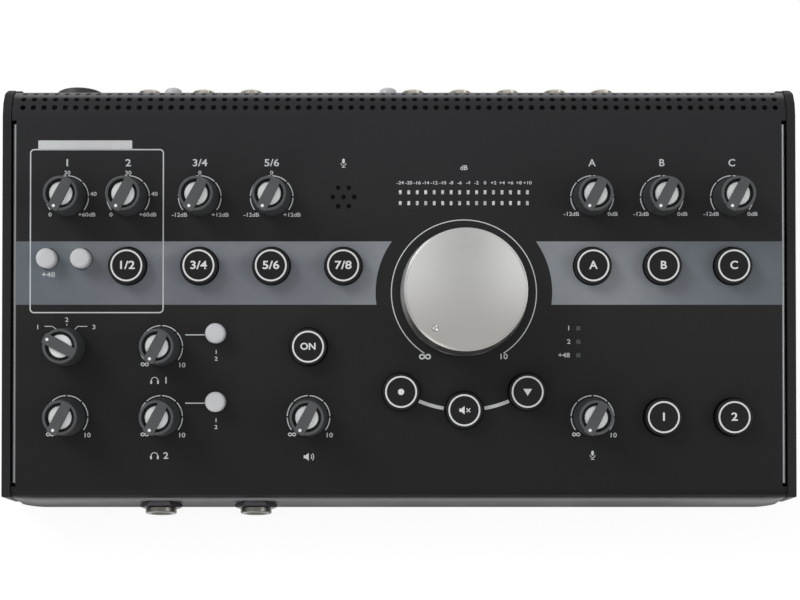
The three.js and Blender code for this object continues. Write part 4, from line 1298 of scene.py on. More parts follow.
@dataclass(frozen=True)
class Frames:
    """The frames that the pieces are drawn in, in millimetres."""

    panel: Matrix
    case: Matrix

    @classmethod
    def found(cls, joints: Sequence[Mapping[str, object]]) -> "Frames":
        """Works the frames out from where the volume knob's axis stands.

        Args:
            joints: The record's joints.

        Returns:
            The frames.
        """
        axis = next(joint for joint in joints if joint["child"] == "volume_knob")
        middle = Row.VOLUME * math.cos(SLOPE) - axis["pos_m"][1] / MM
        case = at((0.0, -middle))
        panel = case @ raised(FRONT_HEIGHT) @ Matrix.Rotation(SLOPE, 4, "X")
        return cls(panel, case)

    def spot(self, spot: Point, turn: float = 0.0) -> Matrix:
        """Frame of something that stands on the panel, its turn in degrees from straight up."""
        return self.panel @ at(spot) @ Matrix.Rotation(math.radians(turn), 4, "Z")

    def facing(self, x: float, y: float, z: float, turn: float = 0.0) -> Matrix:
        """Frame with its Z axis out of the front, turned about the upright, and its Y axis up."""
        turned = Euler((math.radians(90.0), 0.0, math.radians(turn))).to_matrix().to_4x4()
        return self.case @ Matrix.Translation((x, y, z)) @ turned

    def behind(self, x: float = 0.0, z: float = 0.0) -> Matrix:
        """Frame with its Z axis out of the rear face, and its Y axis up."""
        return self.facing(x, REAR_FACE, z, 180.0)


def plumb(along: float, above: float, z: float) -> Point:
    """Panel place, along and above, at a height in the case straight below a panel place."""
    y = along * math.cos(SLOPE) - above * math.sin(SLOPE)
    rise = z - FRONT_HEIGHT
    return y * math.cos(SLOPE) + rise * math.sin(SLOPE), rise * math.cos(SLOPE) - y * math.sin(SLOPE)


class Slot(Enum):
    """The record's material slots."""

    COVER = "cover_steel"
    TRAY = "tray_steel"
    CHEEK = "cheek_plastic"
    BOARD = "board"
    KNOB = "knob_plastic"
    VOLUME = "volume_metal"
    BUTTON = "button_plastic"
    CAP = "cap_plastic"
    SOCKET = "socket_plastic"
    METAL = "socket_metal"
    LENS = "lens"
    FOOT = "foot_rubber"


@dataclass
class Bench:
    """Where pieces are finished and put in the scene."""

    frames: Frames
    rules: Rules
    nodes: Mapping[str, bpy.types.Object]
    made: list[bpy.types.Object] = field(default_factory=list)

    def fit(
        self, name: str, draft: Draft, finishes: Sequence[Finish], slot: Slot, place: Matrix,
        body: str = CONSOLE, replaces: Sequence[str] = (), polish: Polish = Polish(),
    ) -> None:
        """Finishes a piece and puts it in its place.

        Args:
            name: The piece's name.
            draft: Its drawing, in its own frame.
            finishes: Finishes by their place in the drawing.
            slot: The record's slot for the piece. It is not used.
            place: Its own frame, in millimetres.
            body: The body it rides on.
            replaces: The nodes it stands for.
            polish: Its wall, edges and shading.
        """
        mesh = polish.applied(draft.mesh(name))
        mesh.name = name
        mesh.transform(Matrix.Scale(MM, 4) @ place)
        for finish in finishes:
            mesh.materials.append(finish.material())
        made = linked(mesh)
        made.name = name
        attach(made, body)
        if replaces:
            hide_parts(*replaces)
        self.made.append(made)
        log.info("%s: %d faces, on %s", name, len(mesh.polygons), body)

    def dress(
        self, node: str, suffix: str, draft: Draft, finishes: Sequence[Finish], slot: Slot,
        place: Matrix, polish: Polish = Polish(), body: str = CONSOLE,
    ) -> None:
        """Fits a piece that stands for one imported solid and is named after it."""
        self.fit(f"{node}_{suffix}", draft, finishes, slot, place, body, [node], polish)

    def scatter(
        self, name: str, piece: Draft, finish: Finish, slot: Slot, place: Matrix,
        spots: Sequence[Point], turn: float = 0.0, seed: int = 0, polish: Polish = Polish(),
    ) -> None:
        """Fits the copies of a piece on spots of the drawing plane as one piece."""
        copies = self.rules.scattered(piece, finish, spots, turn, seed)
        self.fit(name, copies, [finish], slot, place, polish=polish)

    def copied(self, node: str) -> Draft:
        """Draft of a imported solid, in millimetres, its flat faces joined."""
        draft = Draft().add(self.nodes[node].data, Matrix.Scale(1 / MM, 4), 0).weld()
        limit = math.radians(FLAT_ANGLE)
        bmesh.ops.dissolve_limit(draft.bm, angle_limit=limit, verts=draft.bm.verts, edges=draft.bm.edges)
        return draft

    def repaint(self, node: str, finish: Finish, slot: Slot) -> None:
        """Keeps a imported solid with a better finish."""
        kept = self.nodes[node]
        kept.data.materials.clear()
        kept.data.materials.append(finish.material())


class Assembly(ABC):
    """A part of the console that builds its own pieces."""

    @abstractmethod
    def build(self, bench: Bench) -> None:
        """Builds the pieces on a bench."""


# Chassis


@dataclass(frozen=True)
class Run:
    """Straight or bent stretch of a folded sheet."""

    length: float
    radius: float = 0.0

    @classmethod
    def bend(cls, radius: float, sweep: float) -> "Run":
        """Bend of a radius and a sweep in degrees."""
        return cls(radius * math.radians(sweep), radius)


def walked(start: Point, heading: float, turn: int, runs: Sequence[Run], distance: float) -> Point:
    """Point at a distance along a chain of runs.

    Args:
        start: Where the chain starts.
        heading: Its first direction, in degrees.
        turn: 1 where its bends run counter-clockwise, or -1.
        runs: The runs. The last one goes on straight.
        distance: How far along the point is.

    Returns:
        The point.
    """
    here = complex(*start)
    ahead = complex(math.cos(math.radians(heading)), math.sin(math.radians(heading)))
    for run in runs:
        step = min(distance, run.length)
        if run.radius:
            centre = here + turn * 1j * ahead * run.radius
            swept = turn * step / run.radius
            ahead *= complex(math.cos(swept), math.sin(swept))
            here = centre - turn * 1j * ahead * run.radius
        else:
            here += ahead * step
        distance -= step
    return here.real, here.imag


def steps(low: float, high: float, count: int) -> list[float]:
    """Even steps from one value to another, both included."""
    return [low + (high - low) * step / count for step in range(count + 1)]


FOLDED_SHEET = Polish(wall=SHEET, crease=38.0)


@dataclass(frozen=True)
class TopCover(Assembly):
    """Folded steel cover: panel with its holes, bends to front, rear and sides, and the vents."""

    front: float = 4.144
    half: float = PANEL_HALF
    wide_half: float = SHEET_HALF
    relief: float = 1.8
    side_radius: float = 1.6
    wall_foot: float = 3.3
    front_bend: Run = Run.bend(5.0, 79.3)
    rear_bend: Run = Run.bend(12.7, 100.7)
    lip: float = 1.256
    hem: float = 1.0
    vent_columns: int = 72
    vent_rows: int = 3
    vent_pitch: float = 4.86
    vent_radius: float = 1.3
    vent_start: float = 8.55
    vent_sweep: float = 21.9
    tile_steps: int = 5
    hole_sides: int = 40
    small_sides: int = 16
    grille_hole: float = 1.1
    meter_half: Point = (0.7, 1.0)
    lamp_half: float = 1.1

    def holes(self) -> list[Outline]:
        """Outlines of every hole in the panel."""
        found = [circle(button.spot, BUTTON_HOLE, self.hole_sides) for button in BUTTONS]
        found += [circle(spot, CAP_HOLE, self.hole_sides // 2) for spot in CAPS.values()]
        shafts = [*(knob.spot for knob in KNOBS), VOLUME_SPOT]
        found += [circle(spot, SHAFT_HOLE, self.small_sides) for spot in shafts]
        grille = [(Column.FOURTH + x, Row.TOP + y) for x, y in GRILLE]
        found += [circle(spot, self.grille_hole, self.small_sides) for spot in grille]
        found += [centred(spot, *self.meter_half) for spot in METER_SPOTS]
        found += [centred(spot, self.lamp_half, self.lamp_half) for spot in LAMP_SPOTS]
        return found

    def vent_tile(self, height: float) -> Draft:
        """Square of sheet with one round vent."""
        half = Vector((self.vent_pitch / 2, height / 2))
        corners = centred(ORIGIN, *half)
        rim: list[Point] = []
        for start, end in zip(corners, [*corners[1:], corners[0]]):
            for step in range(self.tile_steps):
                share = step / self.tile_steps
                rim.append(tuple(a + (b - a) * share for a, b in zip(start, end)))
        count = len(rim)
        angles = [math.atan2(y, x) for x, y in rim]
        hole = [(self.vent_radius * math.cos(a), self.vent_radius * math.sin(a)) for a in angles]
        points = [(x, y, 0.0) for x, y in (*rim, *hole)]
        faces = [(i, (i + 1) % count, (i + 1) % count + count, i + count) for i in range(count)]
        return Draft().faces(points, faces)

    def vent_columns_at(self) -> list[float]:
        """Places across the panel of the vent tiles' points."""
        reach = self.vent_pitch * self.vent_columns / 2
        return steps(-reach, reach, self.vent_columns * self.tile_steps)

    def rear_strips(self, bench: Bench) -> Draft:
        """Flat pattern of the rear bend: vents between plain strips."""
        radius = self.rear_bend.radius
        start = PANEL_END + radius * math.radians(self.vent_start)
        height = radius * math.radians(self.vent_sweep)
        end = start + height * self.vent_rows
        bend_end = PANEL_END + self.rear_bend.length
        across = [-self.wide_half, *self.vent_columns_at(), self.wide_half]
        rows = steps(start, end, self.vent_rows * self.tile_steps)
        values = {"Columns": self.vent_columns, "Rows": self.vent_rows, "Across": self.vent_pitch}
        tiles = bench.rules.grid.grown(self.vent_tile(height), COVER_COAT, {**values, "Along": height})
        draft = Draft().add(tiles, at((0.0, (start + end) / 2)))
        draft.grid(across, steps(PANEL_END, start, 2))
        draft.grid(across, [*steps(end, bend_end, 5), bend_end + self.hem])
        draft.grid(across[:2], rows).grid(across[-2:], rows)
        return draft

    def folded(self, flat: Vector) -> tuple[float, float, float]:
        """Panel frame place of a point of the flat pattern."""
        along, above = flat.y, 0.0
        if flat.y < self.front:
            runs = (self.front_bend, Run(self.lip))
            along, above = walked((self.front, 0.0), 180.0, 1, runs, self.front - flat.y)
        elif flat.y > PANEL_END:
            runs = (self.rear_bend, Run(self.hem))
            along, above = walked((PANEL_END, 0.0), 0.0, -1, runs, flat.y - PANEL_END)
        return flat.x, along, above

    def side(self, front: float, rear: float) -> Draft:
        """Right side bend and wall, in the panel frame."""
        draft = Draft()
        radius = self.side_radius
        arc = arc_points((self.half, -radius), radius, 90.0, 0.0, 7)
        points = [(x, along, above) for along in (front, rear) for x, above in arc]
        count = len(arc)
        faces = [(i, i + 1, i + 1 + count, i + count) for i in range(count - 1)]
        # The side bends take the second finish, with its painted highlight.
        draft.faces(points, faces, 1)
        top = [(front, -radius), (rear, -radius)]
        foot = [plumb(*end, self.wall_foot) for end in top]
        wall = [(self.half + radius, *end) for end in (*top, *foot[::-1])]
        return draft.faces(wall, [(0, 3, 2, 1)])

    def build(self, bench: Bench) -> None:
        """Builds the cover as one sheet with a wall."""
        relief_end = PANEL_END - self.relief
        side_front, side_rear = self.front + self.relief, relief_end - self.relief
        columns = self.vent_columns_at()[::-1]
        rear_edge = [(x, PANEL_END) for x in (self.wide_half, *columns, -self.wide_half)]
        right = [(self.half, y) for y in (self.front, side_front, side_rear, relief_end)]
        right.append((self.wide_half, relief_end))
        left = [(-x, y) for x, y in right[::-1]]
        flat = Draft().plate([*right, *rear_edge, *left], self.holes())
        flat.add(self.rear_strips(bench))
        front_end = self.front - self.front_bend.length
        across = [-self.wide_half, -self.half, self.half, self.wide_half]
        flat.grid(across, [front_end - self.lip, *steps(front_end, self.front, 9)])
        flat.bend(self.folded)
        side = self.side(side_front, side_rear)
        flat.add(side).add(side, Matrix.Scale(-1, 4, (1, 0, 0)))
        finishes = [COVER_COAT, COVER_EDGE_HIGHLIGHT]
        place = bench.frames.panel
        bench.fit("cover_sheet", flat, finishes, Slot.COVER, place, CONSOLE, ["top_cover"], FOLDED_SHEET)


@dataclass(frozen=True)
class RearPanel(Assembly):
    """Folded rear panel with round and square holes for its sockets."""

    low: float = 4.2
    high: float = 54.45
    half: float = SHEET_HALF
    fold: float = 1.8
    top_flange: float = 8.0
    foot_flange: float = 10.0
    line_hole: float = 5.8
    combo_hole: float = 9.7
    cap_hole: float = 4.5
    mini_hole: float = 3.3
    inlet_hole: float = 4.3
    usb_half: Point = (6.3, 5.8)
    rocker_half: Point = (8.3, 11.0)
    screws: Sequence[Point] = ((172.4, 10.0), (172.4, 48.0), (12.0, 48.0))
    screw_profile: Outline = (
        (0, 0), (2.6, 0), (2.6, 0.3), (2.2, 1.0), (1.4, 1.35), (1.0, 1.4), (0.5, 0.7), (0, 0.6),
    )

    def holes(self) -> list[Outline]:
        """Outlines of the socket holes, across and up."""
        bores = (
            (LINE_SPOTS, self.line_hole, 32), (COMBO_SPOTS, self.combo_hole, 40),
            (REAR_CAP_SPOTS, self.cap_hole, 28), (MINI_SPOTS, self.mini_hole, 24),
            ([INLET_SPOT], self.inlet_hole, 28),
        )
        found = [circle(spot, radius, sides) for spots, radius, sides in bores for spot in spots]
        return [*found, centred(USB_SPOT, *self.usb_half), centred(ROCKER_SPOT, *self.rocker_half)]

    def folded(self, flat: Vector) -> tuple[float, float, float]:
        """Case place of a point of the flat pattern, whose y is the height up the panel."""
        low, high = self.low + self.fold, self.high - self.fold
        bend = Run.bend(self.fold, 90.0)
        if flat.y > high:
            runs = (bend, Run(self.top_flange))
            inward, z = walked((0.0, high), 90.0, -1, runs, flat.y - high)
        elif flat.y < low:
            runs = (bend, Run(self.foot_flange))
            inward, z = walked((0.0, low), 270.0, 1, runs, low - flat.y)
        else:
            inward, z = 0.0, flat.y
        return flat.x, REAR_FACE - inward, z

    def build(self, bench: Bench) -> None:
        """Builds the panel as one sheet with a wall."""
        low, high = self.low + self.fold, self.high - self.fold
        bend = Run.bend(self.fold, 90.0).length
        flat = Draft().plate(rectangle((-self.half, low), (self.half, high)), self.holes())
        across = [-self.half, self.half]
        flat.grid(across, [*steps(high, high + bend, 6), high + bend + self.top_flange - self.fold])
        flat.grid(across, [low - bend - self.foot_flange + self.fold, *steps(low - bend, low, 6)])
        bmesh.ops.reverse_faces(flat.bm, faces=flat.bm.faces)
        flat.bend(self.folded)
        place = bench.frames.case
        bench.fit("rear_sheet", flat, [REAR_COAT], Slot.COVER, place, CONSOLE, ["rear_panel"], FOLDED_SHEET)
        screw = Draft().lathe(self.screw_profile, 28)
        spots = [(side * x, z) for side in (-1, 1) for x, z in self.screws]
        bench.scatter("rear_screws", screw, SCREW_ZINC, Slot.METAL, bench.frames.behind(), spots, 90.0, 3)


@dataclass(frozen=True)
class BaseTray(Assembly):
    """Bottom tray with its front wall, bowed back at both ends."""

    wall_top: float = 28.3
    foot: float = 3.0
    straight: float = 165.8
    bow: float = 50.0
    wide_half: float = SHEET_HALF
    floor_half: float = 175.3
    rear: float = 182.94
    upstand: tuple[float, float] = (34.0, 173.14)
    upstand_height: float = 10.0
    phones_hole: float = 7.6
    cutter_half: float = 4.0

    def edge(self, half: float, setback: float) -> list[Point]:
        """Front edge in plan from left to right, straight in the middle and bowed back at its ends."""
        radius = self.bow - setback
        sweep = math.degrees(math.asin((half - self.straight) / radius))
        right = arc_points((self.straight, FRONT_FACE + self.bow), radius, -90.0, -90.0 + sweep, 12)
        return [*((-x, y) for x, y in right[::-1]), *right]

    def build(self, bench: Bench) -> None:
        """Builds the tray from its wall, floor and upstands."""
        low, high = self.foot, self.foot + SHEET
        outer, inner = self.edge(self.wide_half, 0.0), self.edge(self.wide_half, SHEET)
        wall = Draft().prism([*outer, *inner[::-1]], low, self.wall_top)
        front = self.edge(self.floor_half, SHEET / 2)
        rear = [(self.floor_half, self.rear), (-self.floor_half, self.rear)]
        tray = carved(wall, Draft().prism([*front, *rear], low, high), Cut.JOINED)
        for side in (-1, 1):
            near, far = sorted((side * self.floor_half, side * (self.floor_half - SHEET)))
            start, end = self.upstand
            upstand = Draft().box((near, start, low + 0.1), (far, end, low + self.upstand_height))
            tray = carved(tray, upstand, Cut.JOINED)
        for x, z in PHONES_SPOTS:
            outline, reach = circle(ORIGIN, self.phones_hole, 40), self.cutter_half
            bore = Draft().prism(outline, -reach, reach)
            place = bench.frames.case.inverted() @ bench.frames.facing(x, FRONT_FACE, z)
            tray = carved(tray, Draft().add(bore, place), Cut.AWAY)
        place, polish = bench.frames.case, Polish(edge=0.45, segments=3, crease=38.0)
        bench.fit("tray_sheet", tray, [TRAY_COAT], Slot.TRAY, place, CONSOLE, ["base_tray"], polish)


@dataclass(frozen=True)
class Cheeks(Assembly):
    """Moulded side cheeks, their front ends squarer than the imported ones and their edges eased."""

    edge: float = 0.3
    front: float = -0.7
    lean: float = 2.0
    foot: float = 3.0
    rounding: float = 6.2
    kept: float = 0.06

    def squared(self, here: Vector, shift: float) -> Vector:
        """Place of a corner once the front end's rounding is shortened.

        Args:
            here: The corner in the row's frame.
            shift: Where the case's front stands in that frame.

        Returns:
            Its new place.
        """
        start = self.front + self.lean * (FRONT_HEIGHT - here.z) / (FRONT_HEIGHT - self.foot)
        depth = here.y - shift - start
        if depth > self.rounding:
            return here
        step = depth * (self.kept - 1)
        rise = step * math.tan(SLOPE) if here.z > FRONT_HEIGHT / 2 else 0.0
        return here + Vector((0.0, step, rise))

    def build(self, bench: Bench) -> None:
        """Builds both cheeks round their imported forms."""
        shift = bench.frames.case.translation.y
        polish = Polish(edge=self.edge, segments=3, crease=30.0)
        for side in ("left", "right"):
            node = f"{side}_cheek"
            draft = bench.copied(node).bend(lambda here: self.squared(here, shift))
            bench.dress(node, "moulding", draft, [CHEEK_PLASTIC], Slot.CHEEK, Matrix.Identity(4), polish)


@dataclass(frozen=True)
class Feet(Assembly):
    """Four rubber feet, each with a screw in its middle."""

    side: float = 157.5
    front: float = 20.0
    rear: float = 164.14
    radius: float = 8.0
    tip: float = 7.0
    height: float = 3.0
    well: float = 2.6
    well_top: float = 1.9
    screw_profile: Outline = ((0, 0.6), (2.2, 0.7), (2.3, 1.2), (2.3, 2.2), (0, 2.2))

    def build(self, bench: Bench) -> None:
        """Builds each foot on its own."""
        profile = [
            (0, self.well_top), (self.well, self.well_top), (self.well + 0.3, 0.3), (self.well + 0.6, 0.0),
            (self.tip - 0.5, 0.0), (self.tip, 0.4), (self.radius, self.height), (0, self.height),
        ]
        spots = [(side * self.side, y) for y in (self.front, self.rear) for side in (-1, 1)]
        for number, spot in enumerate(spots, 1):
            foot = Draft().lathe(profile, 40)
            place = bench.frames.case @ at(spot)
            bench.dress(f"rubber_foot_{number}", "moulding", foot, [FOOT_RUBBER], Slot.FOOT, place)
        head = Draft().lathe(self.screw_profile, 24)
        bench.scatter("foot_screws", head, SCREW_ZINC, Slot.METAL, bench.frames.case, spots)


# Sockets


LINE_COLUMNS = (-117.739, -92.22, -69.75, 6.607, 28.877, 51.147, 73.417, 95.669)
LINE_ROWS = (40.5, 19.0)
LINE_SPOTS = tuple((x, z) for x in LINE_COLUMNS for z in LINE_ROWS)
COMBO_SPOTS = ((-150.282, 40.7), (-150.282, 17.3))
REAR_CAP_SPOTS = ((-106.639, 40.5), (-5.193, 40.5))
MINI_SPOTS = ((-53.397, 19.0), (-17.805, 19.0))
PHONES_SPOTS = ((-110.298, 18.0), (-66.302, 18.0))
USB_SPOT = (128.992, 14.5)
INLET_SPOT = (143.494, 14.5)
ROCKER_SPOT = (160.083, 30.0)


def hexagon(flats: float) -> list[Point]:
    """Hexagon of a width across its flats."""
    return circle(ORIGIN, flats / math.sqrt(3), 6)


def nut(flats: float, thickness: float, bore: float) -> Draft:
    """Hexagonal nut with both faces' corners turned down, standing on the plane."""
    outer = Draft().prism(hexagon(flats), 0.0, thickness)
    corner, flat = flats / math.sqrt(3), flats / 2
    turned = [(0, 0), (flat, 0), (corner, 0.5), (corner, thickness - 0.5), (flat, thickness), (0, thickness)]
    shaped = carved(outer, Draft().lathe(turned, 48), Cut.SHARED)
    hole = Draft().prism(circle(ORIGIN, bore, 40), -1.0, thickness + 1.0)
    return carved(shaped, hole, Cut.AWAY)


def threaded(radius: float, low: float, high: float, pitch: float, depth: float) -> list[Point]:
    """Profile of ridges up the outside of a nose."""
    points: list[Point] = []
    count = int((high - low) / pitch)
    for turn in range(count):
        start = low + turn * pitch
        points += [(radius - depth, start), (radius, start + pitch * 0.35), (radius, start + pitch * 0.55)]
    return [*points, (radius - depth, low + count * pitch)]


@dataclass(frozen=True)
class LineSockets(Assembly):
    """Eight stacked pairs of jack sockets: plastic bodies, plated noses, washers and nuts."""

    nose: float = 5.5
    reach: float = 6.7
    bore: float = 3.25
    bore_depth: float = 24.0
    body_half: float = 6.5
    body_length: float = 28.0
    low: float = 9.0
    high: float = 50.0
    washer: float = 0.6
    washer_bore: float = 5.6
    washer_rim: float = 6.5
    nut_flats: float = 11.6
    nut_height: float = 1.9

    def body(self) -> Draft:
        """Plastic body of one pair, from the panel inwards."""
        holes = [circle((0.0, z), self.bore + 0.2, 24) for z in LINE_ROWS]
        outline = rectangle((-self.body_half, self.low), (self.body_half, self.high))
        draft = Draft().prism(outline, -self.bore_depth, -SHEET - 0.1, holes)
        return draft.prism(outline, -self.body_length, -self.bore_depth)

    def sleeve(self) -> Draft:
        """Threaded nose with its bore."""
        tip = self.reach
        profile = [
            (self.bore, -self.bore_depth), (self.nose - 0.4, -self.bore_depth),
            *threaded(self.nose, -0.4, tip - 0.8, 0.8, 0.35), (self.nose, tip - 0.5), (self.nose - 0.4, tip),
            (self.bore + 0.7, tip), (self.bore, tip - 0.8), (self.bore, -self.bore_depth),
        ]
        return Draft().lathe(profile, 36)

    def build(self, bench: Bench) -> None:
        """Builds the bodies, noses, washers and nuts."""
        for number, x in enumerate(LINE_COLUMNS, 1):
            node, seat = f"line_socket_pair_{number}", bench.frames.behind(x)
            bench.dress(node, "body", self.body(), [SOCKET_PLASTIC], Slot.SOCKET, seat)
        place, spots = bench.frames.behind(), mirrored(LINE_SPOTS)
        bench.scatter("line_socket_noses", self.sleeve(), NICKEL, Slot.METAL, place, spots)
        bore, rim, top = self.washer_bore, self.washer_rim, self.washer
        profile = [(bore, 0), (rim - 0.1, 0), (rim, 0.1), (rim, top - 0.15), (bore, top), (bore, 0)]
        washer = Draft().lathe(profile, 40)
        bench.scatter("line_socket_washers", washer, SCREW_ZINC, Slot.METAL, place, spots)
        piece, seated = nut(self.nut_flats, self.nut_height, self.nose - 0.1), place @ raised(top)
        bench.scatter("line_socket_nuts", piece, NICKEL, Slot.METAL, seated, spots, 20.0, 11)


@dataclass(frozen=True)
class ComboSockets(Assembly):
    """Two microphone sockets that also take a jack, each with a domed bezel and a latch."""

    bezel: float = 11.5
    base: float = 4.5
    rim: float = 9.2
    reach: float = 6.0
    mouth: float = 7.4
    depth: float = 5.0
    bore_rim: float = 3.15
    barrel: float = 9.4
    barrel_end: float = -30.0
    mouth_end: float = -14.0
    pin_turns: Sequence[float] = (35.0, 145.0, 270.0)
    pin_circle: float = 5.2
    pin_hole: float = 1.15
    insert_end: float = -12.0
    key: tuple[Point, Point] = ((-0.7, -7.3), (0.7, -6.4))
    key_height: float = 0.8
    ring: float = 3.9
    tab: tuple[Point, Point] = ((-2.6, 6.2), (2.6, 8.9))
    ridges: Sequence[float] = (-1.2, 0.0, 1.2)
    ridge_half: float = 0.25
    ridge_ends: Point = (6.6, 8.5)

    def shell(self) -> Draft:
        """Bezel and barrel."""
        width, height = self.bezel - self.rim, self.reach - self.base
        dome = [
            (self.rim + width * math.cos(a), self.base + height * math.sin(a))
            for a in steps(0.0, math.pi / 2, 7)
        ]
        profile = [
            (0, self.barrel_end), (self.barrel, self.barrel_end), (self.barrel, 0.0),
            (self.bezel - 0.2, 0.0), (self.bezel, 0.2), *dome, (self.mouth + 0.3, self.reach),
            (self.mouth, self.reach - 0.3), (self.mouth, self.mouth_end), (0, self.mouth_end),
        ]
        return Draft().lathe(profile, 64)

    def insert(self) -> Draft:
        """Face with the jack's bore, the three pin holes and the key."""
        level = self.reach - self.depth
        pins = [arc_points(ORIGIN, self.pin_circle, turn, turn, 1)[0] for turn in self.pin_turns]
        holes = [circle(ORIGIN, self.bore_rim + 0.05, 32), *(circle(pin, self.pin_hole, 16) for pin in pins)]
        draft = Draft().prism(circle(ORIGIN, self.mouth - 0.02, 64), self.insert_end, level, holes)
        return draft.prism(rounded_rectangle(*self.key, 0.3, 3), level, level + self.key_height)

    def latch(self) -> Draft:
        """Release tab over the mouth."""
        draft = Draft().prism(rounded_rectangle(*self.tab, 0.8, 5), 0.4, self.reach - 0.5)
        half, (low, high) = self.ridge_half, self.ridge_ends
        for offset in self.ridges:
            ridge = rounded_rectangle((offset - half, low), (offset + half, high), 0.2, 3)
            draft.prism(ridge, self.reach - 0.55, self.reach - 0.15)
        return draft

    def build(self, bench: Bench) -> None:
        """Builds both sockets."""
        for number, (x, z) in enumerate(COMBO_SPOTS, 1):
            name = f"combo_socket_{number}"
            draft = self.shell().add(self.insert()).add(self.latch(), finish=1)
            bore, rim = self.bore_rim, self.ring
            ring = [(bore, 0.0), (rim, 0.0), (rim, 0.35), (bore + 0.05, 0.5), (bore, 0.0)]
            draft.add(Draft().lathe(ring, 32), raised(self.reach - self.depth - 0.05), 2)
            finishes, place = [SOCKET_PLASTIC, BUTTON_PLASTIC, NICKEL], bench.frames.behind(x, z)
            bench.dress(name, "shell", draft, finishes, Slot.SOCKET, place, Polish(crease=35.0))


@dataclass(frozen=True)
class PhonesSockets(Assembly):
    """Two phones sockets in front: a black nut with a plated ferrule through it."""

    flats: float = 17.0
    nut_reach: float = 2.3
    ferrule: float = 7.2
    lip: float = 0.5
    reach: float = 4.9
    bore: float = 3.25
    depth: float = 24.0
    barrel: float = 5.6
    thread: float = 7.0
    mouth: float = 4.8
    body_half: Point = (8.0, 7.0)
    body_end: float = -28.0

    def body(self) -> Draft:
        """Plastic body behind the wall."""
        outline = rounded_rectangle((-self.body_half[0], -self.body_half[1]), self.body_half, 0.8, 3)
        hole = circle(ORIGIN, self.bore + 0.2, 24)
        draft = Draft().prism(outline, -self.depth, -SHEET - 0.1, [hole])
        return draft.prism(outline, self.body_end, -self.depth)

    def sleeve(self) -> Draft:
        """Ferrule with its mouth and bore."""
        tip = self.reach
        lip = arc_points((self.ferrule - self.lip, tip - self.lip), self.lip, 0.0, 90.0, 4)
        profile = [
            (self.bore, -self.depth), (self.barrel, -self.depth), (self.barrel, 0.2),
            *threaded(self.thread, 0.2, 2.6, 0.6, 0.25), (self.ferrule, 2.8), *lip,
            (self.mouth + 0.4, tip), (self.mouth, tip - 0.4), (self.bore + 0.5, tip - 1.0),
            (self.bore, tip - 1.5), (self.bore, -self.depth),
        ]
        return Draft().lathe(profile, 56)

    def build(self, bench: Bench) -> None:
        """Builds both sockets."""
        for number, (x, z) in enumerate(PHONES_SPOTS, 1):
            name = f"phones_socket_{number}"
            place = bench.frames.facing(x, FRONT_FACE, z)
            draft = Draft().add(self.body(), finish=0).add(self.sleeve(), finish=1)
            draft.add(nut(self.flats, self.nut_reach, self.thread - 0.1), finish=2)
            # The ferrules take the darker nickel, as painted shade.
            finishes = [SOCKET_PLASTIC, SHADED_PHONES_NICKEL, NUT_BLACK]
            bench.dress(name, "fitted", draft, finishes, Slot.SOCKET, place, Polish(crease=35.0))


@dataclass(frozen=True)
class RearFittings(Assembly):
    """Level switches' collars, aux sockets, data socket, power inlet and rocker on the rear panel."""

    edge: float = 0.25
    aux_ring: Outline = (
        (2.0, 0.0), (3.9, 0.0), (4.1, 0.25), (4.1, 0.8), (3.8, 1.05), (3.1, 1.1), (3.1, 0.5), (2.0, 0.5),
        (2.0, 0.0),
    )
    collar: Outline = (
        (4.3, -1.0), (4.4, -1.0), (4.4, 0.0), (4.8, 0.0), (4.8, 0.4), (4.6, 0.6), (4.3, 0.6), (4.3, -1.0),
    )

    def eased(self, bench: Bench, node: str, finish: Finish, slot: Slot, body: str = CONSOLE) -> None:
        """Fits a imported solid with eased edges."""
        polish = Polish(edge=self.edge, crease=35.0)
        place = Matrix.Identity(4)
        bench.dress(node, "moulding", bench.copied(node), [finish], slot, place, polish, body)

    def build(self, bench: Bench) -> None:
        """Builds the fittings and keeps the boards."""
        place = bench.frames.behind()
        ring, spots = Draft().lathe(self.aux_ring, 40), mirrored(MINI_SPOTS)
        bench.scatter("aux_socket_rings", ring, NICKEL, Slot.METAL, place, spots)
        collar, spots = Draft().lathe(self.collar, 40), mirrored(REAR_CAP_SPOTS)
        bench.scatter("level_switch_collars", collar, SOCKET_PLASTIC, Slot.SOCKET, place, spots)
        self.eased(bench, "usb_socket", NICKEL, Slot.METAL)
        self.eased(bench, "power_inlet", SOCKET_PLASTIC, Slot.SOCKET)
        self.eased(bench, "power_rocker", BUTTON_PLASTIC, Slot.BUTTON, "power_rocker")
        bench.repaint("jack_board", BOARD_MASK, Slot.BOARD)
        bench.repaint("control_board", BOARD_MASK, Slot.BOARD)
        bench.repaint("meter_lens", METER_RESIN, Slot.LENS)


# Controls


def stem(low: float, high: float) -> Draft:
    """Square stem between two heights."""
    return Draft().box((-STEM_HALF, -STEM_HALF, low), (STEM_HALF, STEM_HALF, high))


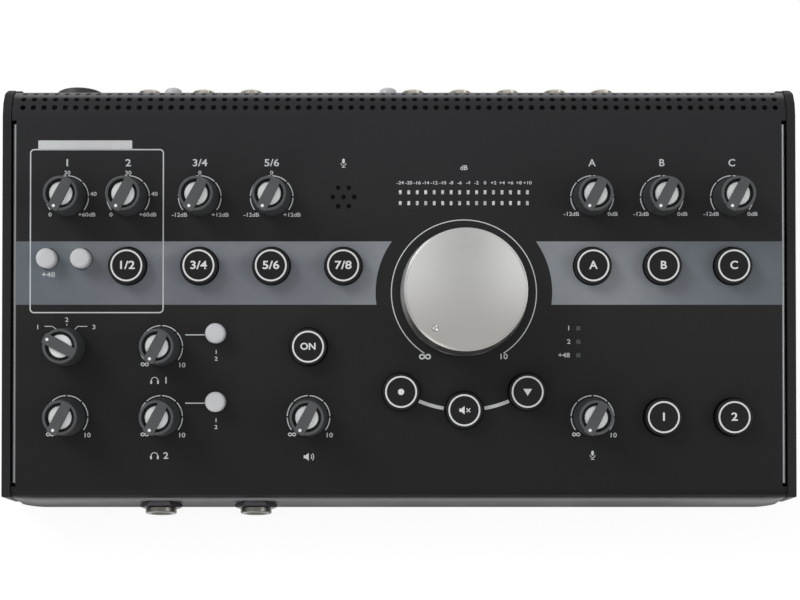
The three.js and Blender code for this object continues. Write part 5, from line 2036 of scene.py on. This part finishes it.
@dataclass(frozen=True)
class PointerKnobs(Assembly):
    """Small knobs: a tapered skirt, a moat in the top, a light disc and a raised pointer bar."""

    lift: float = 0.6
    base: float = 8.8
    rim: float = 7.75
    height: float = 18.5
    rim_width: float = 1.2
    recess: float = 3.2
    disc: float = 5.25
    disc_rise: float = 1.6
    bar_width: float = 5.0
    bar_rise: float = 0.2
    bar_spread: float = 17.5
    nub: float = 0.5
    dot: float = 0.75
    dot_place: float = 6.4
    light_top: float = 0.6
    sides: int = 72

    def body(self) -> Draft:
        """Skirt, rim and moat, with the shaft below."""
        top = self.lift + self.height
        floor = top - self.recess
        inner = self.rim - self.rim_width
        profile = [
            (0, SHAFT_END), (SHAFT, SHAFT_END), (SHAFT, self.lift), (self.base - 0.35, self.lift),
            (self.base, self.lift + 0.35), (self.base - 0.12, self.lift + 1.6),
            (self.rim + 0.05, top - 0.5), (self.rim - 0.1, top - 0.15), (self.rim - 0.35, top),
            (inner + 0.2, top), (inner, top - 0.2), (inner - 0.05, floor), (0, floor),
        ]
        return Draft().lathe(profile, self.sides)

    def bar(self) -> Draft:
        """Pointer bar from edge to edge, its end rounded beyond the rim."""
        half, spread = self.bar_width / 2, self.bar_spread
        ahead = arc_points(ORIGIN, self.rim + self.nub, 90.0 - spread, 90.0 + spread, 8)
        behind = arc_points(ORIGIN, self.rim - 0.4, 270.0 - spread, 270.0 + spread, 8)
        outline = [*ahead, (-half, 0.0), *behind, (half, 0.0)]
        top = self.lift + self.height
        return Draft().prism(outline, top - self.recess - 0.3, top + self.bar_rise)

    def build(self, bench: Bench) -> None:
        """Builds every small knob at its own turn."""
        top = self.lift + self.height
        floor = top - self.recess
        edge, face = self.disc, floor + self.disc_rise
        inlay = [(0, floor - 0.2), (edge, floor - 0.2), (edge, face - 0.25), (edge - 0.25, face)]
        disc = Draft().lathe([*inlay, (0, face + 0.05)], self.sides)
        joined = carved(self.body(), self.bar(), Cut.JOINED)
        finishes = [KNOB_PLASTIC, KNOB_INLAY, POINTER_DOT, SHADED_KNOB_SKIRT]
        # Faces below the top band take the darker copy, as painted shade.
        for part in joined.bm.faces:
            below = part.calc_center_median().z < top - self.light_top
            part.material_index = finishes.index(SHADED_KNOB_SKIRT if below else KNOB_PLASTIC)
        level = top + self.bar_rise
        spot = [(0, level - 0.2), (self.dot, level - 0.2), (self.dot, level), (0, level + 0.06)]
        dot = Draft().lathe(spot, 24)
        polish = Polish(edge=0.16, crease=40.0)
        for knob in KNOBS:
            draft = Draft().add(joined).add(disc, finish=1)
            draft.add(dot, at((0.0, self.dot_place)), 2)
            place = bench.frames.spot(knob.spot, knob.turn)
            bench.dress(knob.body, "cap", draft, finishes, Slot.KNOB, place, polish, knob.body)


@dataclass(frozen=True)
class VolumeKnob(Assembly):
    """Turned aluminium knob with a chamfered top and a dimple for the finger."""

    lift: float = 0.8
    height: float = 29.0
    base: float = 29.1
    top: float = 27.3
    skirt: float = 3.0
    chamfer: float = 0.9
    dimple: float = 2.0
    dimple_depth: float = 0.8
    dimple_sweep: float = 1.3
    offset: float = 22.0
    turn: float = 141.5
    steepest_top: float = 0.5
    sides: int = 160

    def build(self, bench: Bench) -> None:
        """Builds the knob at its own turn."""
        low, high = self.lift, self.lift + self.height
        base, collar, bevel = self.base, self.lift + self.skirt, self.top - self.chamfer
        profile = [
            (0, SHAFT_END), (SHAFT, SHAFT_END), (SHAFT, low + 0.6), (base - 1.6, low + 0.6),
            (base - 1.4, low), (base - 0.3, low), (base, low + 0.3), (base, collar - 0.3),
            (base - 0.25, collar), (self.top + 0.12, high - self.chamfer - 0.06),
            (self.top, high - self.chamfer), (bevel, high), (bevel - 0.15, high), (0, high),
        ]
        body = Draft().lathe(profile, self.sides)
        sink = self.dimple
        angles = steps(-self.dimple_sweep, self.dimple_sweep, 10)
        round_side = [(sink * math.cos(a), sink * math.sin(a)) for a in angles]
        ball = [(0, -sink), *round_side, (0, sink)]
        lift = Matrix.Translation((0, self.offset, high + sink - self.dimple_depth))
        body = carved(body, Draft().add(Draft().lathe(ball, 32), lift), Cut.AWAY)
        place = bench.frames.spot(VOLUME_SPOT, self.turn)
        centre = Matrix.Translation((Matrix.Scale(MM, 4) @ place).translation) @ place.to_3x3().to_4x4()
        # The top takes the painted sheen; the steep side takes a lighter, less metallic copy of the
        # aluminium as painted light, with its painted shade.
        finishes = [
            TurnedMetal("volume_aluminium", linear(177, 177, 176), centre, tones=VOLUME_PAINTED_SHEEN),
            TurnedMetal("volume_side", linear(235, 235, 233), centre, 0.38, 0.8, VOLUME_SIDE_PAINTED_SHADE),
        ]
        body.bm.normal_update()
        for face in body.bm.faces:
            if abs(face.normal.z) < self.steepest_top:
                face.material_index = 1
        node = "volume_knob"
        bench.dress(node, "turned", body, finishes, Slot.VOLUME, place, Polish(crease=24.0), node)


@dataclass(frozen=True)
class LitButtons(Assembly):
    """Round black buttons with a light ring and a legend printed on top."""

    radius: float = 8.45
    rise: float = 5.5
    edge: float = 0.6
    skirt: float = 4.5
    stem_depth: float = 8.8
    ring: tuple[float, float] = (6.5, 7.25)
    sign_size: float = 1.05
    letter_weight: float = 0.1
    ink: float = 0.04
    sides: int = 72

    def body(self) -> Draft:
        """Cap with rounded edge, and its stem."""
        low, edge = -self.skirt, self.edge
        curve = arc_points((self.radius - edge, self.rise - edge), edge, 0.0, 90.0, 6)
        profile = [(0, low), (self.radius - 0.2, low), (self.radius, low + 0.2), *curve, (0, self.rise)]
        return Draft().lathe(profile, self.sides).add(stem(-self.stem_depth, low + 0.1))

    def legend(self, button: Button) -> Draft:
        """Letters or sign of a button."""
        if isinstance(button.legend, Sign):
            return Draft().add(button.legend.drawn(self.ink), Matrix.Scale(self.sign_size, 4))
        return lettering(button.legend, button.height, self.letter_weight, self.ink)

    def build(self, bench: Bench) -> None:
        """Builds every lit button."""
        inner, outer = (circle(ORIGIN, radius, self.sides) for radius in self.ring)
        level = raised(self.rise)
        for button in BUTTONS:
            ring = Draft().prism(outer, 0.0, self.ink, [inner])
            draft = Draft().add(self.body(), finish=0).add(ring, level, 1)
            draft.add(self.legend(button), level, 1)
            finishes, place = [BUTTON_PLASTIC, BUTTON_RING], bench.frames.spot(button.spot)
            polish = Polish(crease=35.0)
            bench.dress(button.body, "cap", draft, finishes, Slot.BUTTON, place, polish, button.body)


@dataclass(frozen=True)
class PushCaps(Assembly):
    """Light push caps of the latching switches on the panel and behind."""

    radius: float = 4.6
    rise: float = 6.8
    rear_radius: float = 4.1
    rear_reach: float = 8.5
    edge: float = 1.5
    sweep: float = math.degrees(1.35)
    crown: float = 0.15
    skirt: float = 3.4
    stem_depth: float = 8.2

    def cap(self, radius: float, rise: float, sides: int) -> Draft:
        """Slightly domed cap with its stem."""
        low, edge = -self.skirt, self.edge
        curve = arc_points((radius - edge, rise - self.crown - edge), edge, 0.0, self.sweep, 7)
        foot = [(0, low), (radius - 0.15, low), (radius, low + 0.15)]
        profile = [*foot, *curve, (radius * 0.45, rise - self.crown * 0.2), (0, rise)]
        return Draft().lathe(profile, sides).add(stem(-self.stem_depth, low + 0.1))

    def build(self, bench: Bench) -> None:
        """Builds the caps on the panel and the two behind."""
        size, rear_size = (self.radius, self.rise, 56), (self.rear_radius, self.rear_reach, 40)
        caps = [(body, bench.frames.spot(spot), size) for body, spot in CAPS.items()]
        for number, spot in enumerate(REAR_CAP_SPOTS, 1):
            caps.append((f"rear_level_cap_{number}", bench.frames.behind(*spot), rear_size))
        for body, place, sizes in caps:
            draft, polish = self.cap(*sizes), Polish(crease=40.0)
            bench.dress(body, "moulding", draft, [CAP_PLASTIC], Slot.CAP, place, polish, body)


@dataclass(frozen=True)
class Lamps(Assembly):
    """Windows of the level meter and the status lamps, and the cloth behind the grille."""

    meter_half: Point = (0.66, 0.96)
    status_half: Point = (1.05, 1.05)
    depth: float = 1.15
    cloth_radius: float = 7.5
    cloth_depths: Point = (1.6, 1.25)

    def window(self, half: Point, rounding: float, sunk: float) -> Draft:
        """Window of two half sizes, its face a little below the panel's."""
        outline = rounded_rectangle((-half[0], -half[1]), half, rounding, 3)
        return Draft().prism(outline, -self.depth, -sunk)

    def build(self, bench: Bench) -> None:
        """Builds the windows by rule, and the cloth."""
        panel = bench.frames.panel
        piece, polish = self.window(self.meter_half, 0.2, 0.08), Polish(edge=0.08)
        bench.scatter("meter_windows", piece, LAMP_WINDOW, Slot.LENS, panel, METER_SPOTS, polish=polish)
        piece, polish = self.window(self.status_half, 0.3, 0.05), Polish(edge=0.1)
        bench.scatter("status_windows", piece, STATUS_WINDOW, Slot.LENS, panel, LAMP_SPOTS, polish=polish)
        outline = circle((Column.FOURTH, Row.TOP), self.cloth_radius, 40)
        cloth = Draft().prism(outline, *(-depth for depth in self.cloth_depths))
        bench.fit("grille_cloth", cloth, [FOOT_RUBBER], Slot.SOCKET, panel)


# Printing on the panel


@dataclass(frozen=True)
class Mark:
    """Letters or a sign at a place on the panel."""

    what: str | Sign
    spot: Point
    height: float = 1.8


@dataclass(frozen=True)
class PanelPrint(Assembly):
    """Bands, frame, scales, numbers and signs printed on the panel."""

    band: tuple[float, float] = (87.3, 116.3)
    band_level: float = 0.02
    line: float = 0.5
    ink: float = 0.03
    scale_radius: float = 9.75
    scale_line: float = 0.48
    scale_end: float = 127.0
    scale_gap: float = 2.2
    volume_radius: float = 33.2
    volume_line: float = 0.44
    volume_end: float = 147.0
    trio_line: float = 1.6
    trio_links: Sequence[Point] = ((-22.5, -10.0), (10.0, 22.5))
    cap_leader: Point = (-97.7, -88.8)
    bay: float = 40.4
    headings: float = 152.2
    frame_line: float = 0.55
    frame_corners: Sequence[Point] = ((-168.7, 83.7), (-107.9, 158.4))
    tab_corners: Sequence[Point] = ((-165.2, 158.4), (-122.2, 162.6))
    leader_line: float = 0.35
    leaders: Sequence[Outline] = (
        ((-162.1, 77.4), (-158.6, 77.4), (-156.7, 76.1)),
        ((-142.5, 77.4), (-146.9, 77.4), (-148.2, 76.1)),
        ((-151.9, 77.7), (-151.9, 78.7)),
    )
    meter_numbers: float = 143.1

    def bands(self) -> Draft:
        """The two bands, hollowed round the volume knob, with holes for what passes them."""
        low, high = self.band
        draft = Draft()
        spots = [(button.spot, BUTTON_HOLE) for button in BUTTONS if button.spot[1] == Row.SELECT]
        spots += [(spot, CAP_HOLE) for spot in CAPS.values() if spot[1] == Row.CAPS]
        across, along = VOLUME_SPOT
        start, end = (math.degrees(math.asin((level - along) / self.bay)) for level in self.band)
        halves = ((-1, (180.0 - start, 180.0 - end), (low, high)), (1, (end, start), (high, low)))
        for side, turns, levels in halves:
            edge = side * PANEL_HALF
            bay = arc_points(VOLUME_SPOT, self.bay, *turns, 24)
            outline = [(edge, levels[0]), *bay, (edge, levels[1])]
            holes = [circle(spot, radius, 40) for spot, radius in spots if (spot[0] - across) * side > 0]
            draft.prism(outline, 0.0, self.band_level, holes)
        return draft

    def frame(self) -> Draft:
        """Rounded frame round the microphone inputs, and the filled tab on it."""
        corners = rounded_rectangle(*self.frame_corners, 1.7, 5)
        draft = stroke([*corners, corners[0]], self.frame_line, self.ink)
        return draft.prism(rounded_rectangle(*self.tab_corners, 0.4, 3), 0.0, self.ink)

    def small_scale(self, bench: Bench) -> Draft:
        """Scale round one small knob, with its five gaps."""
        gap, half = self.scale_gap, self.scale_line / 2
        inner, outer = self.scale_radius - half, self.scale_radius + half
        piece = Draft().prism(sector(inner, outer, 90.0 + gap, 135.0 - gap, 8), 0.0, self.ink)
        values = {"Count": 4, "Start": -90.0, "Step": 45.0}
        draft = bench.rules.ring.grown(piece, LEGEND_INK, values)
        for start, end in ((180.0 + gap, 90.0 + self.scale_end), (90.0 - self.scale_end, -gap)):
            draft.prism(sector(inner, outer, start, end, 8), 0.0, self.ink)
        return draft

    def scales(self, bench: Bench) -> Draft:
        """Every scale on the panel."""
        spots = [knob.spot for knob in KNOBS if knob.body != "cue_source_knob"]
        draft = bench.rules.scattered(self.small_scale(bench), LEGEND_INK, spots)
        radius, half, end = self.volume_radius, self.volume_line / 2, self.volume_end
        arc = sector(radius - half, radius + half, 90.0 - end, 90.0 + end, 72)
        return draft.add(Draft().prism(arc, 0.0, self.ink), at(VOLUME_SPOT))

    def links(self) -> Draft:
        """Lines between the buttons below the volume knob, and leaders of the caps and the selector."""
        draft = Draft()
        half = self.trio_line / 2
        for start, end in self.trio_links:
            path = sector(TRIO_RADIUS - half, TRIO_RADIUS + half, start - 90.0, end - 90.0, 12)
            draft.add(Draft().prism(path, 0.0, self.ink), at(VOLUME_SPOT))
        for row in (Row.UPPER_CAP, Row.LOWER_CAP):
            draft.add(stroke([(x, row - 0.6) for x in self.cap_leader], self.line, self.ink))
        for path in self.leaders:
            draft.add(stroke(path, self.leader_line, self.ink))
        return draft

    def marks(self) -> list[Mark]:
        """Numbers and signs, by place."""
        headings = {
            Column.EDGE: "1", Column.FIRST: "2", Column.SECOND: "3/4", Column.THIRD: "5/6",
            Column.FOURTH: Sign.MICROPHONE,
            Column.OUTPUT_A: "A", Column.OUTPUT_B: "B", Column.OUTPUT_C: "C",
        }
        found = [Mark(what, (column, self.headings), 3.3) for column, what in headings.items()]
        found += [
            Mark("+48", (Column.PHANTOM + 0.2, 101.0), 2.4), Mark("1", (-165.2, 77.0), 2.0),
            Mark("2", (-151.9, 80.4), 2.0), Mark("3", (-139.5, 77.0), 2.0),
            Mark("dB", (Column.VOLUME, 150.0), 2.2), Mark("∞", (11.9, 63.5), 4.4),
            Mark("10", (47.7, 63.5), 2.5), Mark("1", (77.6, Row.STATUS + LAMP_PITCH), 2.1),
            Mark("2", (77.6, Row.STATUS), 2.1), Mark("+48", (75.4, Row.STATUS - LAMP_PITCH), 2.1),
            Mark(Sign.MICROPHONE, (Column.OUTPUT_A, 18.6)), Mark(Sign.SPEAKER, (Column.STUDIO, 17.8)),
        ]
        for number, height in (("1", 52.6), ("2", 18.2)):
            found.append(Mark(Sign.PHONES, (Column.PHONES - 3.0, height)))
            found.append(Mark(number, (Column.PHONES + 2.2, height), 3.0))
        for column in (Column.EDGE, Column.FIRST):
            found += [
                Mark("0", (column - 7.8, 128.5)), Mark("+60dB", (column + 9.0, 128.5)),
                Mark("30", (column, 147.7)), Mark("40", (column + 12.0, 138.0)),
            ]
        for column in (Column.SECOND, Column.THIRD):
            found += [Mark("-12dB", (column - 9.3, 128.4)), Mark("+12dB", (column + 9.3, 128.4))]
            found.append(Mark("0", (column, 147.7)))
        for column in (Column.OUTPUT_A, Column.OUTPUT_B, Column.OUTPUT_C):
            found += [Mark("-12dB", (column - 9.5, 128.8)), Mark("0dB", (column + 9.4, 128.8))]
        levels = (
            (Column.PHONES, Row.UPPER), (Column.PHONES, Row.LOWER), (Column.STUDIO, Row.LOWER),
            (Column.OUTPUT_A, Row.LOWER), (Column.EDGE, Row.LOWER),
        )
        for column, row in levels:
            found += [Mark("∞", (column - 7.5, row - 8.0), 3.0), Mark("10", (column + 9.4, row - 8.4), 2.1)]
        values = (-24, -20, -16, *range(-14, 12, 2))
        for column, value in zip(METER_ACROSS, values, strict=True):
            found.append(Mark(f"+{value}" if value > 0 else str(value), (column, self.meter_numbers), 1.5))
        for row in (Row.UPPER_CAP, Row.LOWER_CAP):
            for number in (1, 2):
                found.append(Mark(str(number), (Column.PHONES_CAP, row - 5.4 - 3.1 * number), 1.8))
        return found

    def build(self, bench: Bench) -> None:
        """Prints the bands first and everything light over them."""
        panel = bench.frames.panel
        bench.fit("panel_bands", self.bands(), [BAND_INK], Slot.COVER, panel)
        draft = self.frame().add(self.scales(bench)).add(self.links())
        for mark in self.marks():
            if isinstance(mark.what, Sign):
                drawn = mark.what.drawn(self.ink)
            else:
                drawn = lettering(mark.what, mark.height, mark.height * 0.02, self.ink)
            draft.add(drawn, at(mark.spot))
        for face in draft.bm.faces:
            face.material_index = 0
        bench.fit("panel_legends", draft, [LEGEND_INK], Slot.COVER, panel @ raised(0.01))


# Studio


@dataclass(frozen=True)
class Softbox:
    """A square area light that looks at a point."""

    name: str
    place: tuple[float, float, float]
    size: float
    power: float

    def lit(self, aim: Vector) -> bpy.types.Object:
        """Puts the light in the scene."""
        data = bpy.data.lights.new(self.name, "AREA")
        data.shape = "SQUARE"
        data.size = self.size
        data.energy = self.power
        made = linked(data)
        made.location = self.place
        made.rotation_euler = (aim - made.location).to_track_quat("-Z", "Y").to_euler()
        return made


@dataclass(frozen=True)
class Studio:
    """Floor, light, white surroundings and the camera of the photograph."""

    lens: float = 88.6
    distance: float = 900.0
    foot: Point = (-0.2, 50.65)
    tilt: float = 11.75
    shift: Point = (0.0018, 0.061)
    sensor: float = 36.0
    floor_half: float = 4000.0
    aim: Point = (0.0, 80.0)
    world_light: float = 0.5
    lights: Sequence[Softbox] = (
        Softbox("key", (-1.5, 1.1, 1.5), 1.0, 24.0),
        Softbox("fill", (1.7, -0.3, 1.3), 1.0, 8.0),
        Softbox("front", (-0.8, -1.5, 0.35), 1.0, 7.0),
    )

    def floor(self) -> None:
        """Pale floor under the feet."""
        mesh = Draft().plate(centred(ORIGIN, self.floor_half, self.floor_half)).mesh("floor")
        mesh.transform(Matrix.Scale(MM, 4))
        mesh.materials.append(StudioFloor("studio_floor").material())
        linked(mesh)

    def surroundings(self) -> None:
        """White world to the eye, softer as a light."""
        world = bpy.data.worlds.new("studio")
        recipe = Recipe(world)
        strength = seen_directly(recipe) * (1.0 - self.world_light) + self.world_light
        inputs = {"Color": (1, 1, 1, 1), "Strength": strength}
        recipe.end(recipe.node("ShaderNodeBackground", inputs=inputs), "ShaderNodeOutputWorld")
        bpy.context.scene.world = world

    def camera(self, frames: Frames) -> None:
        """Camera straight above the panel, as in the photograph."""
        data = bpy.data.cameras.new("camera")
        data.lens = self.lens
        data.sensor_width = self.sensor
        data.shift_x, data.shift_y = self.shift
        data.dof.use_dof = False
        made = linked(data)
        made.location = frames.panel @ Vector((*self.foot, self.distance)) * MM
        made.rotation_euler = (math.radians(self.tilt), 0.0, 0.0)
        bpy.context.scene.camera = made

    def build(self, frames: Frames) -> None:
        """Sets the stage."""
        self.floor()
        self.surroundings()
        aim = frames.panel @ Vector((*self.aim, 0.0)) * MM
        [light.lit(aim) for light in self.lights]
        self.camera(frames)
        bpy.context.scene.view_settings.view_transform = "Standard"


def main() -> None:
    """Builds every assembly in order and notes how many pieces it made."""
    logging.basicConfig(level=logging.INFO, format="%(name)s %(message)s")
    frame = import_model()
    frames = Frames.found(frame["joints"])
    bench = Bench(frames, Rules(), frame["nodes"])
    assemblies: Sequence[Assembly] = (
        BaseTray(), RearPanel(), Cheeks(), TopCover(), Feet(), LineSockets(), ComboSockets(),
        PhonesSockets(), RearFittings(), Lamps(), PanelPrint(), PointerKnobs(), VolumeKnob(),
        LitButtons(), PushCaps(),
    )
    for assembly in assemblies:
        assembly.build(bench)
    Studio().build(frames)
    log.info("%d pieces", len(bench.made))


if __name__ == "__main__":
    main()
